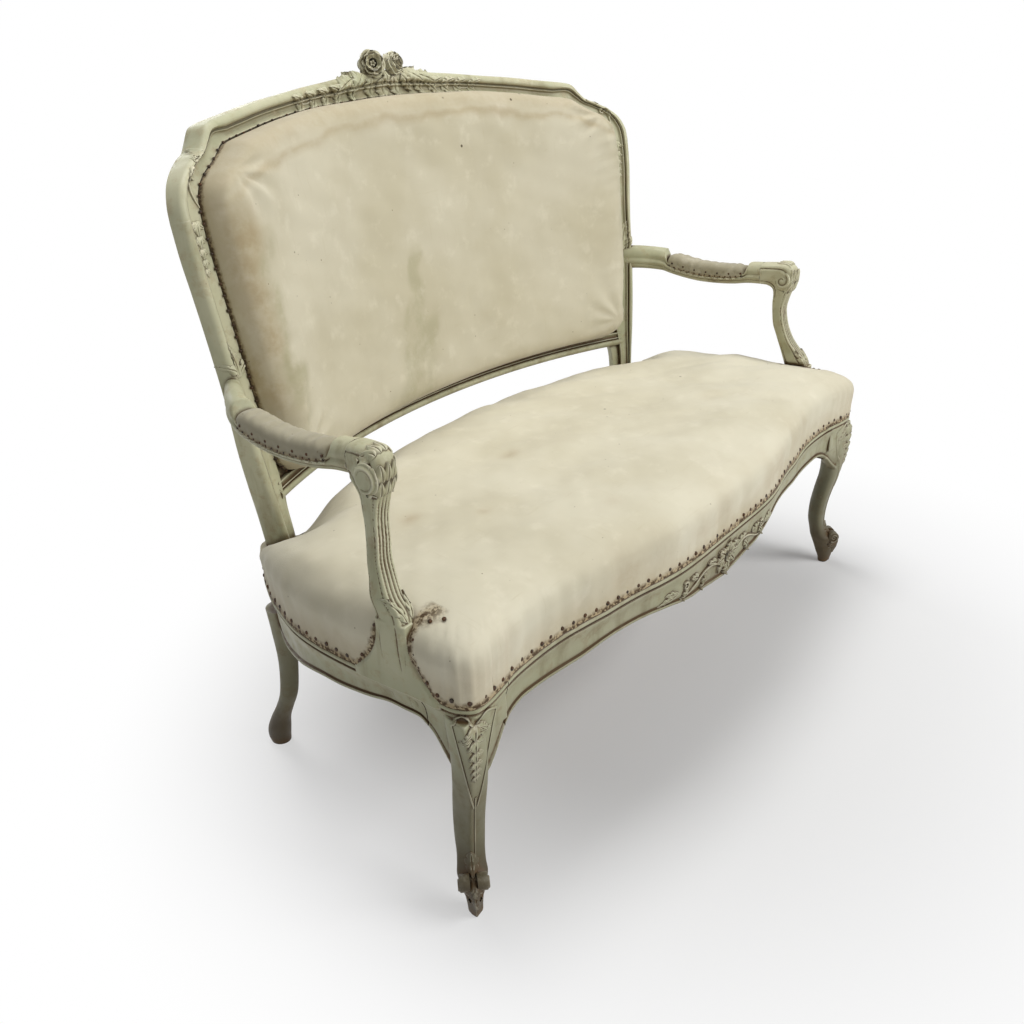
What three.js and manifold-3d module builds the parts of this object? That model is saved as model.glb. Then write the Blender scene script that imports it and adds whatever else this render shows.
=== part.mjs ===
// Cabriole sofa: a painted open-arm settee with a carved crest, a concave upholstered back,
// padded arms and a deep stuffed seat over webbing, all in calico. Millimetres, +Z up.
// While it is built, x is 0 on the middle of the sofa, y is 0 at the front of the seat and grows
// towards the back, and z is 0 on the floor. The right-hand pieces are modelled and mirrored.

import * as THREE from 'three';
import { mergeVertices } from 'three/addons/utils/BufferGeometryUtils.js';
import Module from 'manifold-3d';

const wasm = await Module();
wasm.setup();

// Clearances
const fit_gap = 0.3; // between pieces that touch
const overrun = 4; // how far a tenon or cutter runs into the piece it belongs to

// Seat
const seat_half_width = 616; // to the outer face of a side rail
const seat_depth = 586;
const seat_height = 352; // top edge of the show wood, where the cloth is tacked
const tacking_height = 33; // wood above the show edge, under the cloth
const rail_thickness = 34;
const rear_rail_thickness = 27;
const rear_rail_height = 78;
const rail_height = 90; // deepest point of the shaped rails below the show edge
const rail_bead = 2.5;
const rail_tuck = 12; // how far the lower edge lies inside the upper edge
const ledge = 7; // step on which the cloth ends
const pad_height = 108; // crown of the seat above the show edge
const tuck_reach = 60; // how far from a stile the cushion is drawn down
const tuck_line = 2.4; // from the face of a stile to the edge of the tucked cloth
const tuck_gap = 60; // from a stile to the stuffing under the tucked cloth

// Front legs
const front_shoulder = 530; // where the front rail meets the leg, from the middle
const side_shoulder = 118; // where the side rail meets the leg, from the front
const front_foot_across = 605;
const front_foot_back = 60;
const leg_reach = 53; // sweep of the leg along its diagonal
const leg_width = 48;
const knee_skin = 13; // thickness of the moulded band round the knee block
const post_inset = 9; // knee block inside the seat outline

// Rear posts
const rear_shoulder_across = 440; // inner face of a rear post
const rear_shoulder_back = 484; // front face of a rear post
const rear_foot_across = 519;
const rear_foot_back = 520;
const rear_leg_width = 32;
const rear_kick = 61; // how far the foot stands behind the leg

// Back
const back_half_width = 530;
const back_height = 1050; // top of the crest rail at the middle
const back_bottom = 464; // underside of the lower rail
const back_set = 623.5; // front face of the back at its lowest edge and middle
const back_radius = 1240;
const back_end_wrap = 17.5; // extra curl of the ends at the half width
const back_lean_share = 0.135;
const frame_depth = 27;
const stile_width = 40;
const lower_rail_height = 46;
const rebate_depth = 7;
const back_pad_bulge = 64;
const rose_radius = 19;

// Arms
const arm_height = 652;
const arm_width = 40;
const arm_steps = 10; // rings along the padded stretch
const arm_joint_back = 231; // front end of the arm, where it meets its support
const support_width = 33;
const support_foot = 20; // thickness of the foot let into the side rail
const volute_radius = 20;
const volute_width = 40;

// Cloth, webbing and fixings
const cloth = 1.5;
const web_width = 50;
const web_thickness = 1.8;
const web_spacing = 135;
const back_web_spacing = 230;
const hessian = 1;
const sheet_edge = 6; // from the cloth line to the edge of a sheet behind it
const tenon_thickness = 12;
const tenon_height = 30;
const tenon_length = 32;
const screw_radius = 2.2;
const screw_head_radius = 4.2;
const screw_head_height = 2.6;
const screw_length = 27;
const block_screw_length = 58;
const dowel_radius = 5;
const dowel_length = 38;
const brace_width = 36;
const brace_height = 42;
const brace_housing = 12;
const block_reach = 56; // along each rail from the notch round the leg
const block_height = 44;

// Half of the seat's outline, from the middle of the back round to the middle of the front:
// [across share of the half width, back share of the depth].
const seat_outline_shares = [
  [0, 1], [0.125, 0.996], [0.25, 0.984], [0.375, 0.963], [0.5, 0.935], [0.6, 0.906],
  [0.65, 0.893], [0.706, 0.887], [0.744, 0.901], [0.763, 0.925], [0.783, 0.941],
  [0.807, 0.9454], [0.83, 0.933], [0.851, 0.911], [0.869, 0.886], [0.891, 0.848],
  [0.925, 0.783], [0.956, 0.703], [0.979, 0.632], [0.9935, 0.549],
  [1, 0.42], [0.997, 0.3], [0.993, 0.2], [0.996, 0.138], [0.992, 0.094], [0.972, 0.064],
  [0.936, 0.06], [0.886, 0.067], [0.836, 0.0768], [0.752, 0.0819], [0.66, 0.0785],
  [0.58, 0.066], [0.516, 0.0535], [0.455, 0.045], [0.394, 0.0335], [0.325, 0.0171],
  [0.25, 0.005], [0.17, 0.0005], [0.08, 0], [0, 0],
];

// Moulded face of a show rail from its upper edge down: [share of the bead, share of the tuck,
// share of the drop].
const rail_face_shares = [
  [0, 0, 0], [1, 0, 0.1], [-0.5, 0, 0.24], [0, -0.5, 0.6], [0, -0.7, 0.86], [0, -0.7, 0.95],
  [0, -1, 1],
];

// Lower edge of the front rail: [across share, drop share of the rail height].
const front_edge_shares = [
  [0, 1], [0.08, 0.933], [0.13, 0.889], [0.18, 0.867], [0.227, 0.811], [0.268, 0.75],
  [0.308, 0.711], [0.35, 0.68], [0.44, 0.667], [0.515, 0.678], [0.55, 0.711], [0.584, 0.744],
  [0.65, 0.75], [0.7, 0.733], [0.753, 0.711], [0.79, 0.7], [0.83, 0.756], [0.86, 0.88],
];

// Lower edge of a side rail: [back share, drop share].
const side_edge_shares = [
  [0.177, 0.777], [0.2, 0.69], [0.222, 0.6], [0.266, 0.58], [0.316, 0.565], [0.369, 0.62],
  [0.42, 0.66], [0.48, 0.7], [0.55, 0.725], [0.616, 0.8], [0.667, 0.88], [0.73, 0.96], [0.8, 1],
];

// Lower edge of the knee band, from the side shoulder round to the front shoulder.
const knee_edge_shares = [
  [0, 0.69], [0.05, 0.76], [0.1, 0.86], [0.18, 1.06], [0.28, 1.25], [0.47, 1.4], [0.7, 1.3],
  [0.82, 1.16], [0.92, 1], [1, 0.88],
];

// Front leg, from the floor up: [height share, outer and inner share of the reach, half width
// share of the leg width, sideways share of the leg width].
const front_leg_shares = [
  [0, 0.23, -0.245, 0.215, 0], [0.034, 0.29, -0.28, 0.225, 0], [0.074, 0.36, -0.38, 0.26, 0],
  [0.114, 0.44, -0.47, 0.3, 0], [0.148, 0.46, -0.55, 0.38, 0], [0.176, 0.4, -0.62, 0.44, 0],
  [0.202, 0.12, -0.68, 0.415, 0], [0.247, -0.11, -0.74, 0.405, -0.01],
  [0.318, -0.17, -0.83, 0.43, -0.02], [0.42, -0.11, -0.81, 0.45, -0.05],
  [0.523, 0.04, -0.7, 0.468, -0.1], [0.619, 0.23, -0.58, 0.48, -0.15],
  [0.716, 0.36, -0.56, 0.49, -0.18], [0.81, 0.46, -0.6, 0.495, -0.17],
  [0.88, 0.49, -0.64, 0.495, -0.14], [0.95, 0.47, -0.68, 0.48, -0.1],
];

// Section of a front leg: [share from the middle towards the outer arris, share of half width].
const leg_section_shares = [
  [1, 0], [0.72, 0.36], [0.38, 0.72], [0, 0.97], [-0.4, 1], [-0.78, 0.7], [-1, 0.26],
  [-1, -0.26], [-0.78, -0.7], [-0.4, -1], [0, -0.97], [0.38, -0.72], [0.72, -0.36],
];

// Rear leg: [share of the height up to the show edge, share of the kick, share of half width].
const rear_leg_shares = [
  [0, 1.02, 1.02], [0.034, 1.04, 1.16], [0.085, 0.98, 1.18], [0.162, 0.8, 1], [0.24, 0.54, 0.91],
  [0.355, 0.22, 0.94], [0.54, 0.02, 1], [0.71, 0, 1.18], [0.83, 0, 1.35],
];

const rear_oval_share = 0.1; // how much deeper than wide the foot is

// Right half of the back frame's outer edge, stile first:
// [height share, across share of the back's half width, width share of the stile, depth share].
const stile_shares = [
  [0.362, 0.935, 0.9, 1.5], [0.385, 0.938, 0.94, 1.45], [0.43, 0.95, 1.08, 1.35],
  [0.475, 0.964, 1.5, 1.3], [0.53, 0.978, 1.6, 1.2], [0.575, 0.987, 1.56, 1.05],
  [0.62, 0.995, 1.51, 0.93], [0.667, 1, 1.46, 0.93], [0.715, 1.007, 1.47, 0.93],
  [0.76, 1.0155, 1.51, 0.93], [0.8, 1.0225, 1.54, 0.95], [0.8457, 1.025, 1.56, 0.95],
];

const stile_joint_share = 0.8457; // height of the joint between a stile and the crest rail
const stile_joint_height = stile_joint_share * back_height;

// Crest rail from the stile joint to the middle:
// [outer across, outer height, inner across, inner height, depth], all shares.
const crest_shares = [
  [1.025, 0.8457, 0.907, 0.8457, 0.95], [1.02, 0.866, 0.901, 0.862, 0.95],
  [0.998, 0.888, 0.886, 0.8745, 1], [0.96, 0.904, 0.857, 0.8855, 1.1],
  [0.915, 0.916, 0.828, 0.8922, 1.2], [0.88, 0.923, 0.8094, 0.898, 1.25],
  [0.853, 0.936, 0.7868, 0.902, 1.3], [0.83, 0.9495, 0.7585, 0.9076, 1.3],
  [0.8, 0.955, 0.7377, 0.9095, 1.25], [0.736, 0.96, 0.7, 0.9124, 1.2],
  [0.67, 0.9645, 0.65, 0.916, 1.15], [0.604, 0.9695, 0.598, 0.92, 1.15],
  [0.54, 0.9735, 0.537, 0.9245, 1.15], [0.472, 0.977, 0.47, 0.9286, 1.15],
  [0.4, 0.981, 0.4, 0.932, 1.15], [0.328, 0.985, 0.328, 0.9335, 1.15],
  [0.22, 0.99, 0.22, 0.933, 1.15], [0.11, 0.996, 0.11, 0.933, 1.15], [0, 1, 0, 0.9324, 1.15],
];

// Carved roses on the crest: [across, up, forward, size], all shares of the rose's radius.
const rose_shares = [
  [-1.45, 0.5, 0.35, 1], [1.05, 0.5, 0.2, 0.95], [-0.2, -0.75, 0.45, 0.95],
  [-3, -0.55, 0.25, 0.75], [3, -0.35, 0.25, 0.75],
];

// Section of a back frame member: [share across from the outer edge, level]. Level 0 is the
// front, 1 the bottom of the rebate that the cloth is tacked into, and 3 the back face.
const rebate_share = 0.62;
const frame_section_shares = [
  [0.03, -0.1], [0.3, -0.3], [rebate_share, 0], [rebate_share, 1], [1, 1], [1, 2], [0.93, 3],
  [rebate_share, 3], [rebate_share * 0.86, 3], [0.15, 3], [0, 2.1], [0, 0.2],
];

// Arm from the stile to its support: [back share of the seat depth, across share, top and
// bottom share of the arm height, width share, 1 on the padded stretch].
const arm_shares = [
  [0.923, 0.84, 1.026, 0.958, 0.62, 0], [0.8805, 0.866, 1.028, 0.959, 0.66, 0],
  [0.833, 0.897, 1.023, 0.955, 0.76, 0], [0.79, 0.915, 1.018, 0.95, 0.9, 0],
  [0.765, 0.92, 1.014, 0.944, 0.95, 1], [0.71, 0.9237, 1.003, 0.934, 1, 1],
  [0.6416, 0.926, 0.992, 0.926, 1, 1], [0.5734, 0.927, 0.989, 0.925, 1, 1],
  [0.505, 0.926, 0.991, 0.929, 1, 1], [0.455, 0.924, 0.996, 0.936, 1, 1],
  [0.43, 0.923, 0.999, 0.938, 1, 0], [0.394, 0.922, 1.001, 0.939, 1, 0],
];

// Section of an arm: [share of the width, share of the height, share of the height once the
// padded stretch is cut down to its seat].
const pad_seat_share = 0.52;
const arm_section_shares = [
  [-0.28, 0, 0], [0.28, 0, 0], [0.45, 0.17, 0.17], [0.5, 0.42, 0.38],
  [0.45, 0.74, pad_seat_share], [0.24, 1, pad_seat_share], [-0.24, 1, pad_seat_share],
  [-0.45, 0.74, pad_seat_share], [-0.5, 0.42, 0.38], [-0.45, 0.17, 0.17],
];

const pad_end_share = 0.015; // how far the stuffing stops short of its cover
const pad_taper_share = 0.25; // how much narrower the pad is at its ends

// Arm pad along its length: [share of the padded stretch, share of the full rise].
const arm_pad_shares = [
  [0, 0.2], [0.04, 0.62], [0.12, 0.92], [0.25, 1], [0.4, 1], [0.6, 1], [0.75, 1], [0.88, 0.92],
  [0.96, 0.62], [1, 0.2],
];
const arm_pad_section_shares = [
  [0.47, 0], [0.51, 0.34], [0.44, 0.72], [0.24, 1], [-0.24, 1], [-0.44, 0.72], [-0.51, 0.34],
  [-0.47, 0],
];

// Arm support from its foot to the arm joint: [front back-share, front height share,
// rear back-share, rear height share, across share, share of the support width].
const support_shares = [
  [0.2235, 0.482, 0.309, 0.482, -0.006, 0.42], [0.2235, 0.54, 0.309, 0.54, 0.003, 0.62],
  [0.2245, 0.6135, 0.31, 0.6135, 0.006, 0.8], [0.227, 0.66, 0.3085, 0.653, 0.003, 0.9],
  [0.2398, 0.695, 0.3106, 0.6794, -0.005, 1], [0.2628, 0.721, 0.326, 0.7178, -0.006, 0.97],
  [0.2867, 0.753, 0.334, 0.7485, -0.016, 0.93], [0.3027, 0.787, 0.343, 0.779, -0.024, 0.89],
  [0.3106, 0.8236, 0.3515, 0.8113, -0.034, 0.86], [0.314, 0.8635, 0.355, 0.851, -0.039, 0.86],
  [0.3058, 0.897, 0.3567, 0.88, -0.039, 0.9], [0.2935, 0.931, 0.3555, 0.908, -0.038, 1],
  [0.287, 0.957, 0.361, 0.925, -0.037, 1.1], [0.2855, 0.985, 0.376, 0.934, -0.041, 1.15],
  [0.305, 1.002, 0.3865, 0.937, -0.047, 1.18], [0.348, 1.0035, 0.391, 0.9387, -0.054, 1.2],
  [0.394, 1.001, 0.394, 0.939, -0.058, 1.21],
];
const support_foot_share = 0.67; // it stands upright in the side rail up to this height
const support_let_in_share = 0.84; // up to this height it may touch the rail or the seat
const support_base_share = 0.265; // where the middle of its foot stands, along the seat
const volute_shares = [0.287, 0.957, -0.037]; // its front, middle height and way inwards
const support_screw_shares = [0.22, 0.7]; // up the foot
const support_section_shares = [
  [0, -0.3], [0, 0.3], [0.12, 0.46], [0.5, 0.5], [0.88, 0.46], [1, 0.3], [1, -0.3],
  [0.88, -0.46], [0.5, -0.5], [0.12, -0.46],
];

// Seat cushion rings from the tacked edge up: [share of the way to the middle, share of the
// pad height, swell share of the ledge].
const seat_pad_shares = [
  [0, 0, -0.4], [0, 0.2, 0], [0, 0.42, 0.35], [0, 0.56, 0.35], [0.016, 0.69, 0.2],
  [0.06, 0.8, 0], [0.15, 0.895, 0], [0.35, 0.97, 0], [0.82, 1, 0],
];
const seat_lining_rows = [0, 2, 3, 4, 5, 6, 7, 8]; // rows that the inside of the cloth follows
const seat_stuffing_rows = [3, 4, 5, 6, 7, 8];
const tuck_share = 0.62; // how far the cushion is drawn down at the foot of a stile
const seat_middle_share = 0.53; // half length of the middle line of the seat rings

// Back cushion rings from the tacked edge out: [share of the way to the middle, bulge share].
const back_pad_shares = [
  [0, 0], [-0.012, 0.3], [-0.012, 0.58], [0.012, 0.78], [0.07, 0.9], [0.2, 0.97], [0.5, 1],
  [0.8, 1.02],
];
const back_flat_shares = [0.9, 0.6, 0.3, 0.02]; // rings of the flat side of the back stuffing
const cloth_lap_share = 0.04; // bare strip of the rebate outside the cloth
const lower_line_shares = [0, 0.28, 0.56, 0.79]; // places along the lower rail
const back_middle_share = 0.47;
const back_middle_height_share = 0.71;

// The piece that a table of shares describes, read smoothly between its rows.
function read_share(table, at, column = 1) {
  const last = table.length - 1;
  if (at <= table[0][0]) return table[0][column];
  if (at >= table[last][0]) return table[last][column];
  let row = 0;
  while (at > table[row + 1][0]) row += 1;
  const slope = (k) => {
    const before = table[Math.max(k - 1, 0)];
    const after = table[Math.min(k + 1, last)];
    return (after[column] - before[column]) / (after[0] - before[0]);
  };
  const span = table[row + 1][0] - table[row][0];
  const t = (at - table[row][0]) / span;
  const s = 1 - t;
  return s * s * (1 + 2 * t) * table[row][column] + t * t * (3 - 2 * t) * table[row + 1][column]
    + s * s * t * span * slope(row) - s * t * t * span * slope(row + 1);
}

function spread(from, to, steps) {
  return Array.from({ length: steps + 1 }, (_, i) => from + ((to - from) * i) / steps);
}

// Triangles that close a ring, each written in the ring's own direction.
function ring_faces(ring) {
  const normal = new THREE.Vector3();
  ring.forEach((p, i) => {
    const q = ring[(i + 1) % ring.length];
    normal.add(new THREE.Vector3(
      (p.y - q.y) * (p.z + q.z), (p.z - q.z) * (p.x + q.x), (p.x - q.x) * (p.y + q.y),
    ));
  });
  normal.normalize();
  const turn = new THREE.Quaternion().setFromUnitVectors(normal, new THREE.Vector3(0, 0, 1));
  const flat = ring.map((p) => {
    const q = p.clone().applyQuaternion(turn);
    return new THREE.Vector2(q.x, q.y);
  });
  return THREE.ShapeUtils.triangulateShape(flat, []).map((face) => face.sort((a, b) => a - b));
}

// Triangles that close a long hollow ring in strips across it, so that they follow its bow.
function strip_faces(ring) {
  const count = ring.length;
  const extreme = (sign) => ring.reduce(
    (best, p, i) => (p.x * sign > ring[best].x * sign ? i : best), 0,
  );
  const [left, right] = [extreme(-1), extreme(1)];
  const chain = (step) => {
    const list = [left];
    while (list[list.length - 1] !== right) list.push((list[list.length - 1] + step + count) % count);
    return list;
  };
  const [one, two] = [chain(1), chain(-1)];
  const faces = [];
  let [i, k] = [0, 0];
  while (i < one.length - 1 || k < two.length - 1) {
    const step_one = k === two.length - 1
      || (i < one.length - 1 && ring[one[i + 1]].x < ring[two[k + 1]].x);
    const next = step_one ? one[i + 1] : two[k + 1];
    if (new Set([one[i], two[k], next]).size === 3) faces.push([one[i], next, two[k]]);
    if (step_one) i += 1;
    else k += 1;
  }
  return faces;
}

// A closed body through a row of rings with the same number of points. Each four-sided face is
// split along its shorter diagonal, measured on the guide, so that layers with one guide match.
function loft(rings, close = ring_faces, guide = rings) {
  const count = rings[0].length;
  const index = [];
  for (let r = 0; r < rings.length - 1; r += 1) {
    for (let i = 0; i < count; i += 1) {
      const k = (i + 1) % count;
      const [a, b] = [r * count + i, r * count + k];
      const [falling, rising] = [
        guide[r][i].distanceTo(guide[r + 1][k]), guide[r][k].distanceTo(guide[r + 1][i]),
      ];
      if (falling <= rising) index.push(a, b, b + count, a, b + count, a + count);
      else index.push(a, b, a + count, b, b + count, a + count);
    }
  }
  close(rings[0]).forEach(([a, b, c]) => index.push(c, b, a));
  const top = (rings.length - 1) * count;
  close(rings[rings.length - 1]).forEach(([a, b, c]) => index.push(top + a, top + b, top + c));
  const points = rings.flat();
  let volume = 0;
  for (let i = 0; i < index.length; i += 3) {
    const [a, b, c] = [points[index[i]], points[index[i + 1]], points[index[i + 2]]];
    volume += a.dot(b.clone().cross(c));
  }
  if (volume < 0) index.reverse();
  const geometry = new THREE.BufferGeometry().setFromPoints(points);
  geometry.setIndex(index);
  return geometry;
}

function to_solid(geometry) {
  const plain = new THREE.BufferGeometry();
  plain.setAttribute('position', geometry.getAttribute('position').clone());
  plain.setIndex(geometry.getIndex());
  const merged = mergeVertices(plain);
  return new wasm.Manifold(new wasm.Mesh({
    numProp: 3,
    vertProperties: Float32Array.from(merged.getAttribute('position').array),
    triVerts: Uint32Array.from(merged.getIndex().array),
  }));
}

function to_geometry(solid) {
  const mesh = solid.getMesh();
  const geometry = new THREE.BufferGeometry();
  geometry.setAttribute('position', new THREE.BufferAttribute(mesh.vertProperties, 3));
  geometry.setIndex(new THREE.BufferAttribute(mesh.triVerts, 1));
  return geometry;
}

function join(...geometries) {
  return to_geometry(geometries.map(to_solid).reduce((sum, solid) => sum.add(solid)));
}

function cut(geometry, ...cutters) {
  const rest = cutters.map(to_solid).reduce((left, solid) => left.subtract(solid), to_solid(geometry));
  return to_geometry(rest);
}

function mirrored(geometry) {
  const copy = geometry.clone();
  copy.scale(-1, 1, 1);
  const faces = Array.from(copy.getIndex().array);
  copy.setIndex(faces.reverse());
  return copy;
}

function box(low, high) {
  const geometry = new THREE.BoxGeometry(high[0] - low[0], high[1] - low[1], high[2] - low[2]);
  return geometry.translate((low[0] + high[0]) / 2, (low[1] + high[1]) / 2, (low[2] + high[2]) / 2);
}

// A round bar from one point to another.
function bar(from, to, radius, sides = 10) {
  const axis = to.clone().sub(from);
  const geometry = new THREE.CylinderGeometry(radius, radius, axis.length(), sides);
  const turn = new THREE.Quaternion().setFromUnitVectors(
    new THREE.Vector3(0, 1, 0), axis.clone().normalize(),
  );
  const middle = from.clone().add(to).multiplyScalar(0.5);
  return geometry.applyQuaternion(turn).translate(middle.x, middle.y, middle.z);
}

// The seat's outline as one closed curve.
const wood_top = seat_height + tacking_height;
const outline_half = seat_outline_shares.map(
  ([across, back]) => new THREE.Vector3(across * seat_half_width, back * seat_depth, 0),
);
const outline_other = outline_half.slice(1, -1).reverse()
  .map((p) => new THREE.Vector3(-p.x, p.y, 0));
const seat_outline = new THREE.CatmullRomCurve3(
  [...outline_half, ...outline_other], true, 'centripetal',
);
seat_outline.arcLengthDivisions = 1200;

// A place on the outline: its point, the way along it and the way out of the seat.
function seat_place(u) {
  const turn = ((u % 1) + 1) % 1;
  const point = seat_outline.getPointAt(turn);
  const along = seat_outline.getTangentAt(turn);
  return { point, along, out: new THREE.Vector3(along.y, -along.x, 0).multiplyScalar(outline_sense) };
}
const outline_sense = seat_outline.getTangentAt(0).x > 0 ? -1 : 1;

function find_place(value, target, from, to) {
  let [low, high] = [from, to];
  const rising = value(seat_outline.getPointAt(high)) > value(seat_outline.getPointAt(low));
  for (let i = 0; i < 40; i += 1) {
    const middle = (low + high) / 2;
    if ((value(seat_outline.getPointAt(middle)) < target) === rising) low = middle;
    else high = middle;
  }
  return (low + high) / 2;
}
const corner_place = spread(0.25, 0.5, 200).reduce((best, u) => {
  const reach = (at) => seat_outline.getPointAt(at).x - seat_outline.getPointAt(at).y;
  return reach(u) > reach(best) ? u : best;
}, 0.25);
const place_across = (x) => find_place((p) => p.x, x, corner_place, 0.5);
const place_rear = (x) => find_place((p) => p.x, x, 0, corner_place / 2);
const place_side = (y) => find_place((p) => p.y, y, place_rear(back_half_width), corner_place);

// One ring of a band that follows the outline: section points are [outwards, height], and a
// plane squares the ring off across or along the seat.
function band_ring(u, section, plane) {
  const { point, along, out } = seat_place(u);
  return section.map(([outwards, height]) => {
    const at = point.clone().addScaledVector(out, outwards);
    at.z = height;
    if (plane) at.addScaledVector(along, (plane.at - at[plane.axis]) / along[plane.axis]);
    return at;
  });
}

function band(places, section_at, first_plane, last_plane) {
  return loft(places.map((u, i) => {
    const plane = i === 0 ? first_plane : (i === places.length - 1 && last_plane) || undefined;
    return band_ring(u, section_at(u), plane);
  }));
}

// Section of a show rail whose lower edge lies at the given height.
function rail_section(low, thickness, grow = 0) {
  const face = rail_face_shares.map(([bead, tuck, drop]) => [
    bead * rail_bead + tuck * rail_tuck + grow, seat_height - drop * (seat_height - low),
  ]);
  face[face.length - 1][1] -= grow;
  return [
    ...face, [-thickness - grow, low - grow], [-thickness - grow, wood_top + grow],
    [grow - ledge, wood_top + grow], [grow - ledge, seat_height],
  ];
}

function tenon_section(grow) {
  const inner = -rail_thickness / 2 - tenon_thickness / 2 - grow;
  const outer = -rail_thickness / 2 + tenon_thickness / 2 + grow;
  const top = seat_height - tacking_height / 3 + grow;
  const bottom = top - tenon_height - 2 * grow;
  return [[inner, bottom], [outer, bottom], [outer, top], [inner, top]];
}

// Front rail
const front_low = (u) => seat_height - rail_height
  * read_share(front_edge_shares, Math.abs(seat_place(u).point.x) / seat_half_width);

function front_rail(grow = 0) {
  const from = place_across(front_shoulder - fit_gap);
  const places = spread(from, 1 - from, 32);
  const end = front_shoulder - fit_gap + grow;
  return band(
    places, (u) => rail_section(front_low(u), rail_thickness, grow),
    { axis: 'x', at: end }, { axis: 'x', at: -end },
  );
}

function front_tenon(grow = 0) {
  const from = place_across(front_shoulder + tenon_length);
  const to = place_across(front_shoulder - overrun);
  return band(
    [from, to], () => tenon_section(grow), { axis: 'x', at: front_shoulder + tenon_length + grow },
    { axis: 'x', at: front_shoulder - overrun },
  );
}

// Side rails
const side_low = (u) => seat_height - rail_height
  * read_share(side_edge_shares, seat_place(u).point.y / seat_depth);

function side_rail(grow = 0) {
  const from = place_side(rear_shoulder_back - fit_gap);
  const to = place_side(side_shoulder + fit_gap);
  return band(
    spread(from, to, 12), (u) => rail_section(side_low(u), rail_thickness, grow),
    { axis: 'y', at: rear_shoulder_back - fit_gap + grow },
    { axis: 'y', at: side_shoulder + fit_gap - grow },
  );
}

function side_front_tenon(grow = 0) {
  return band(
    [place_side(side_shoulder + overrun), place_side(side_shoulder - tenon_length)],
    () => tenon_section(grow), { axis: 'y', at: side_shoulder + overrun },
    { axis: 'y', at: side_shoulder - tenon_length - grow },
  );
}

function side_rear_tenon(grow = 0) {
  const place = seat_place(place_side(rear_shoulder_back - overrun));
  const inner = place.point.x - rail_thickness + tenon_thickness / 6;
  const top = seat_height - tacking_height / 3;
  return box(
    [inner - grow, rear_shoulder_back - overrun, top - tenon_height - grow],
    [inner + tenon_thickness + grow, rear_shoulder_back + tenon_length / 2 + grow, top + grow],
  );
}

// Rear rail, plain under the cloth
function rear_rail_section(grow = 0) {
  const [inner, outer] = [-ledge - rear_rail_thickness - grow, -ledge + grow];
  const [low, high] = [wood_top - rear_rail_height - grow, wood_top + grow];
  return [[inner, low], [outer, low], [outer, high], [inner, high]];
}

function rear_rail(grow = 0) {
  const from = place_rear(rear_shoulder_across - fit_gap);
  return band(
    spread(-from, from, 16), () => rear_rail_section(grow),
    { axis: 'x', at: -rear_shoulder_across + fit_gap - grow },
    { axis: 'x', at: rear_shoulder_across - fit_gap + grow },
  );
}

function rear_tenon(grow = 0) {
  const y = seat_place(place_rear(rear_shoulder_across)).point.y - ledge - rear_rail_thickness / 2;
  const top = seat_height - tacking_height / 3 - tenon_height / 4;
  const shallow = tenon_length / 2;
  return box(
    [rear_shoulder_across - overrun, y - tenon_thickness / 2 - grow, top - tenon_height - grow],
    [rear_shoulder_across + shallow + grow, y + tenon_thickness / 2 + grow, top + grow],
  );
}

// Front leg: a turned-out cabriole on the diagonal, with its knee block and moulded band.
function front_leg_rings() {
  const diagonal = new THREE.Vector3(1, -1, 0).normalize();
  const across = new THREE.Vector3(1, 1, 0).normalize();
  const foot = new THREE.Vector3(front_foot_across, front_foot_back, 0);
  return front_leg_shares.map(([height, outer, inner, half, aside]) => {
    const middle = ((outer + inner) / 2) * leg_reach;
    const reach = ((outer - inner) / 2) * leg_reach;
    return leg_section_shares.map(([towards, sideways]) => {
      const at = foot.clone().addScaledVector(diagonal, middle + reach * towards);
      at.addScaledVector(across, (sideways * half + aside) * leg_width);
      at.z = height * seat_height;
      return at;
    });
  });
}

function knee_band() {
  const from = place_side(side_shoulder);
  const to = place_across(front_shoulder);
  return band(
    spread(from, to, 14),
    (u) => {
      const drop = read_share(knee_edge_shares, (u - from) / (to - from)) * rail_height;
      return rail_section(seat_height - drop, knee_skin);
    },
    { axis: 'y', at: side_shoulder }, { axis: 'x', at: front_shoulder },
  );
}

function front_leg() {
  const side_face = seat_place(place_side(side_shoulder)).point.x;
  const front_face = seat_place(place_across(front_shoulder)).point.y;
  const block = box(
    [front_shoulder, front_face + post_inset, seat_height - rail_height * 0.7],
    [side_face - post_inset, side_shoulder, wood_top],
  );
  const leg = join(loft(front_leg_rings()), block, knee_band());
  const screw_hole = block_screw(front_notch, front_towards, fit_gap);
  return cut(leg, front_tenon(fit_gap), side_front_tenon(fit_gap), screw_hole);
}

// Front face of the back: leaning, hollow across, and curled a little more at its ends.
function back_point(x, z, behind = 0) {
  const end = x / back_half_width;
  const y = back_set + back_lean_share * (z - back_bottom) - (x * x) / (2 * back_radius)
    - back_end_wrap * end ** 4;
  const slope = x / back_radius + (4 * back_end_wrap * end ** 3) / back_half_width;
  const normal = new THREE.Vector3(slope, 1, -back_lean_share).normalize();
  return new THREE.Vector3(x, y, z).addScaledVector(normal, behind);
}

// One ring of a back frame member between its outer and inner edge points.
function frame_ring(outer, inner, section, depths, grow = 0) {
  const way = new THREE.Vector2(inner[0] - outer[0], inner[1] - outer[1]).normalize();
  const [ox, oz] = [outer[0] - way.x * grow, outer[1] - way.y * grow];
  const [ix, iz] = [inner[0] + way.x * grow, inner[1] + way.y * grow];
  return section.map(([share, level]) => {
    const [x, z] = [ox + (ix - ox) * share, oz + (iz - oz) * share];
    const depth = share < rebate_share ? depths[0] : depths[1];
    if (level <= 1) return back_point(x, z, level * rebate_depth - grow);
    const behind = rebate_depth + ((level - 1) / 2) * (depth - rebate_depth);
    return back_point(x, z, behind + (level - 2) * grow);
  });
}

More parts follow.
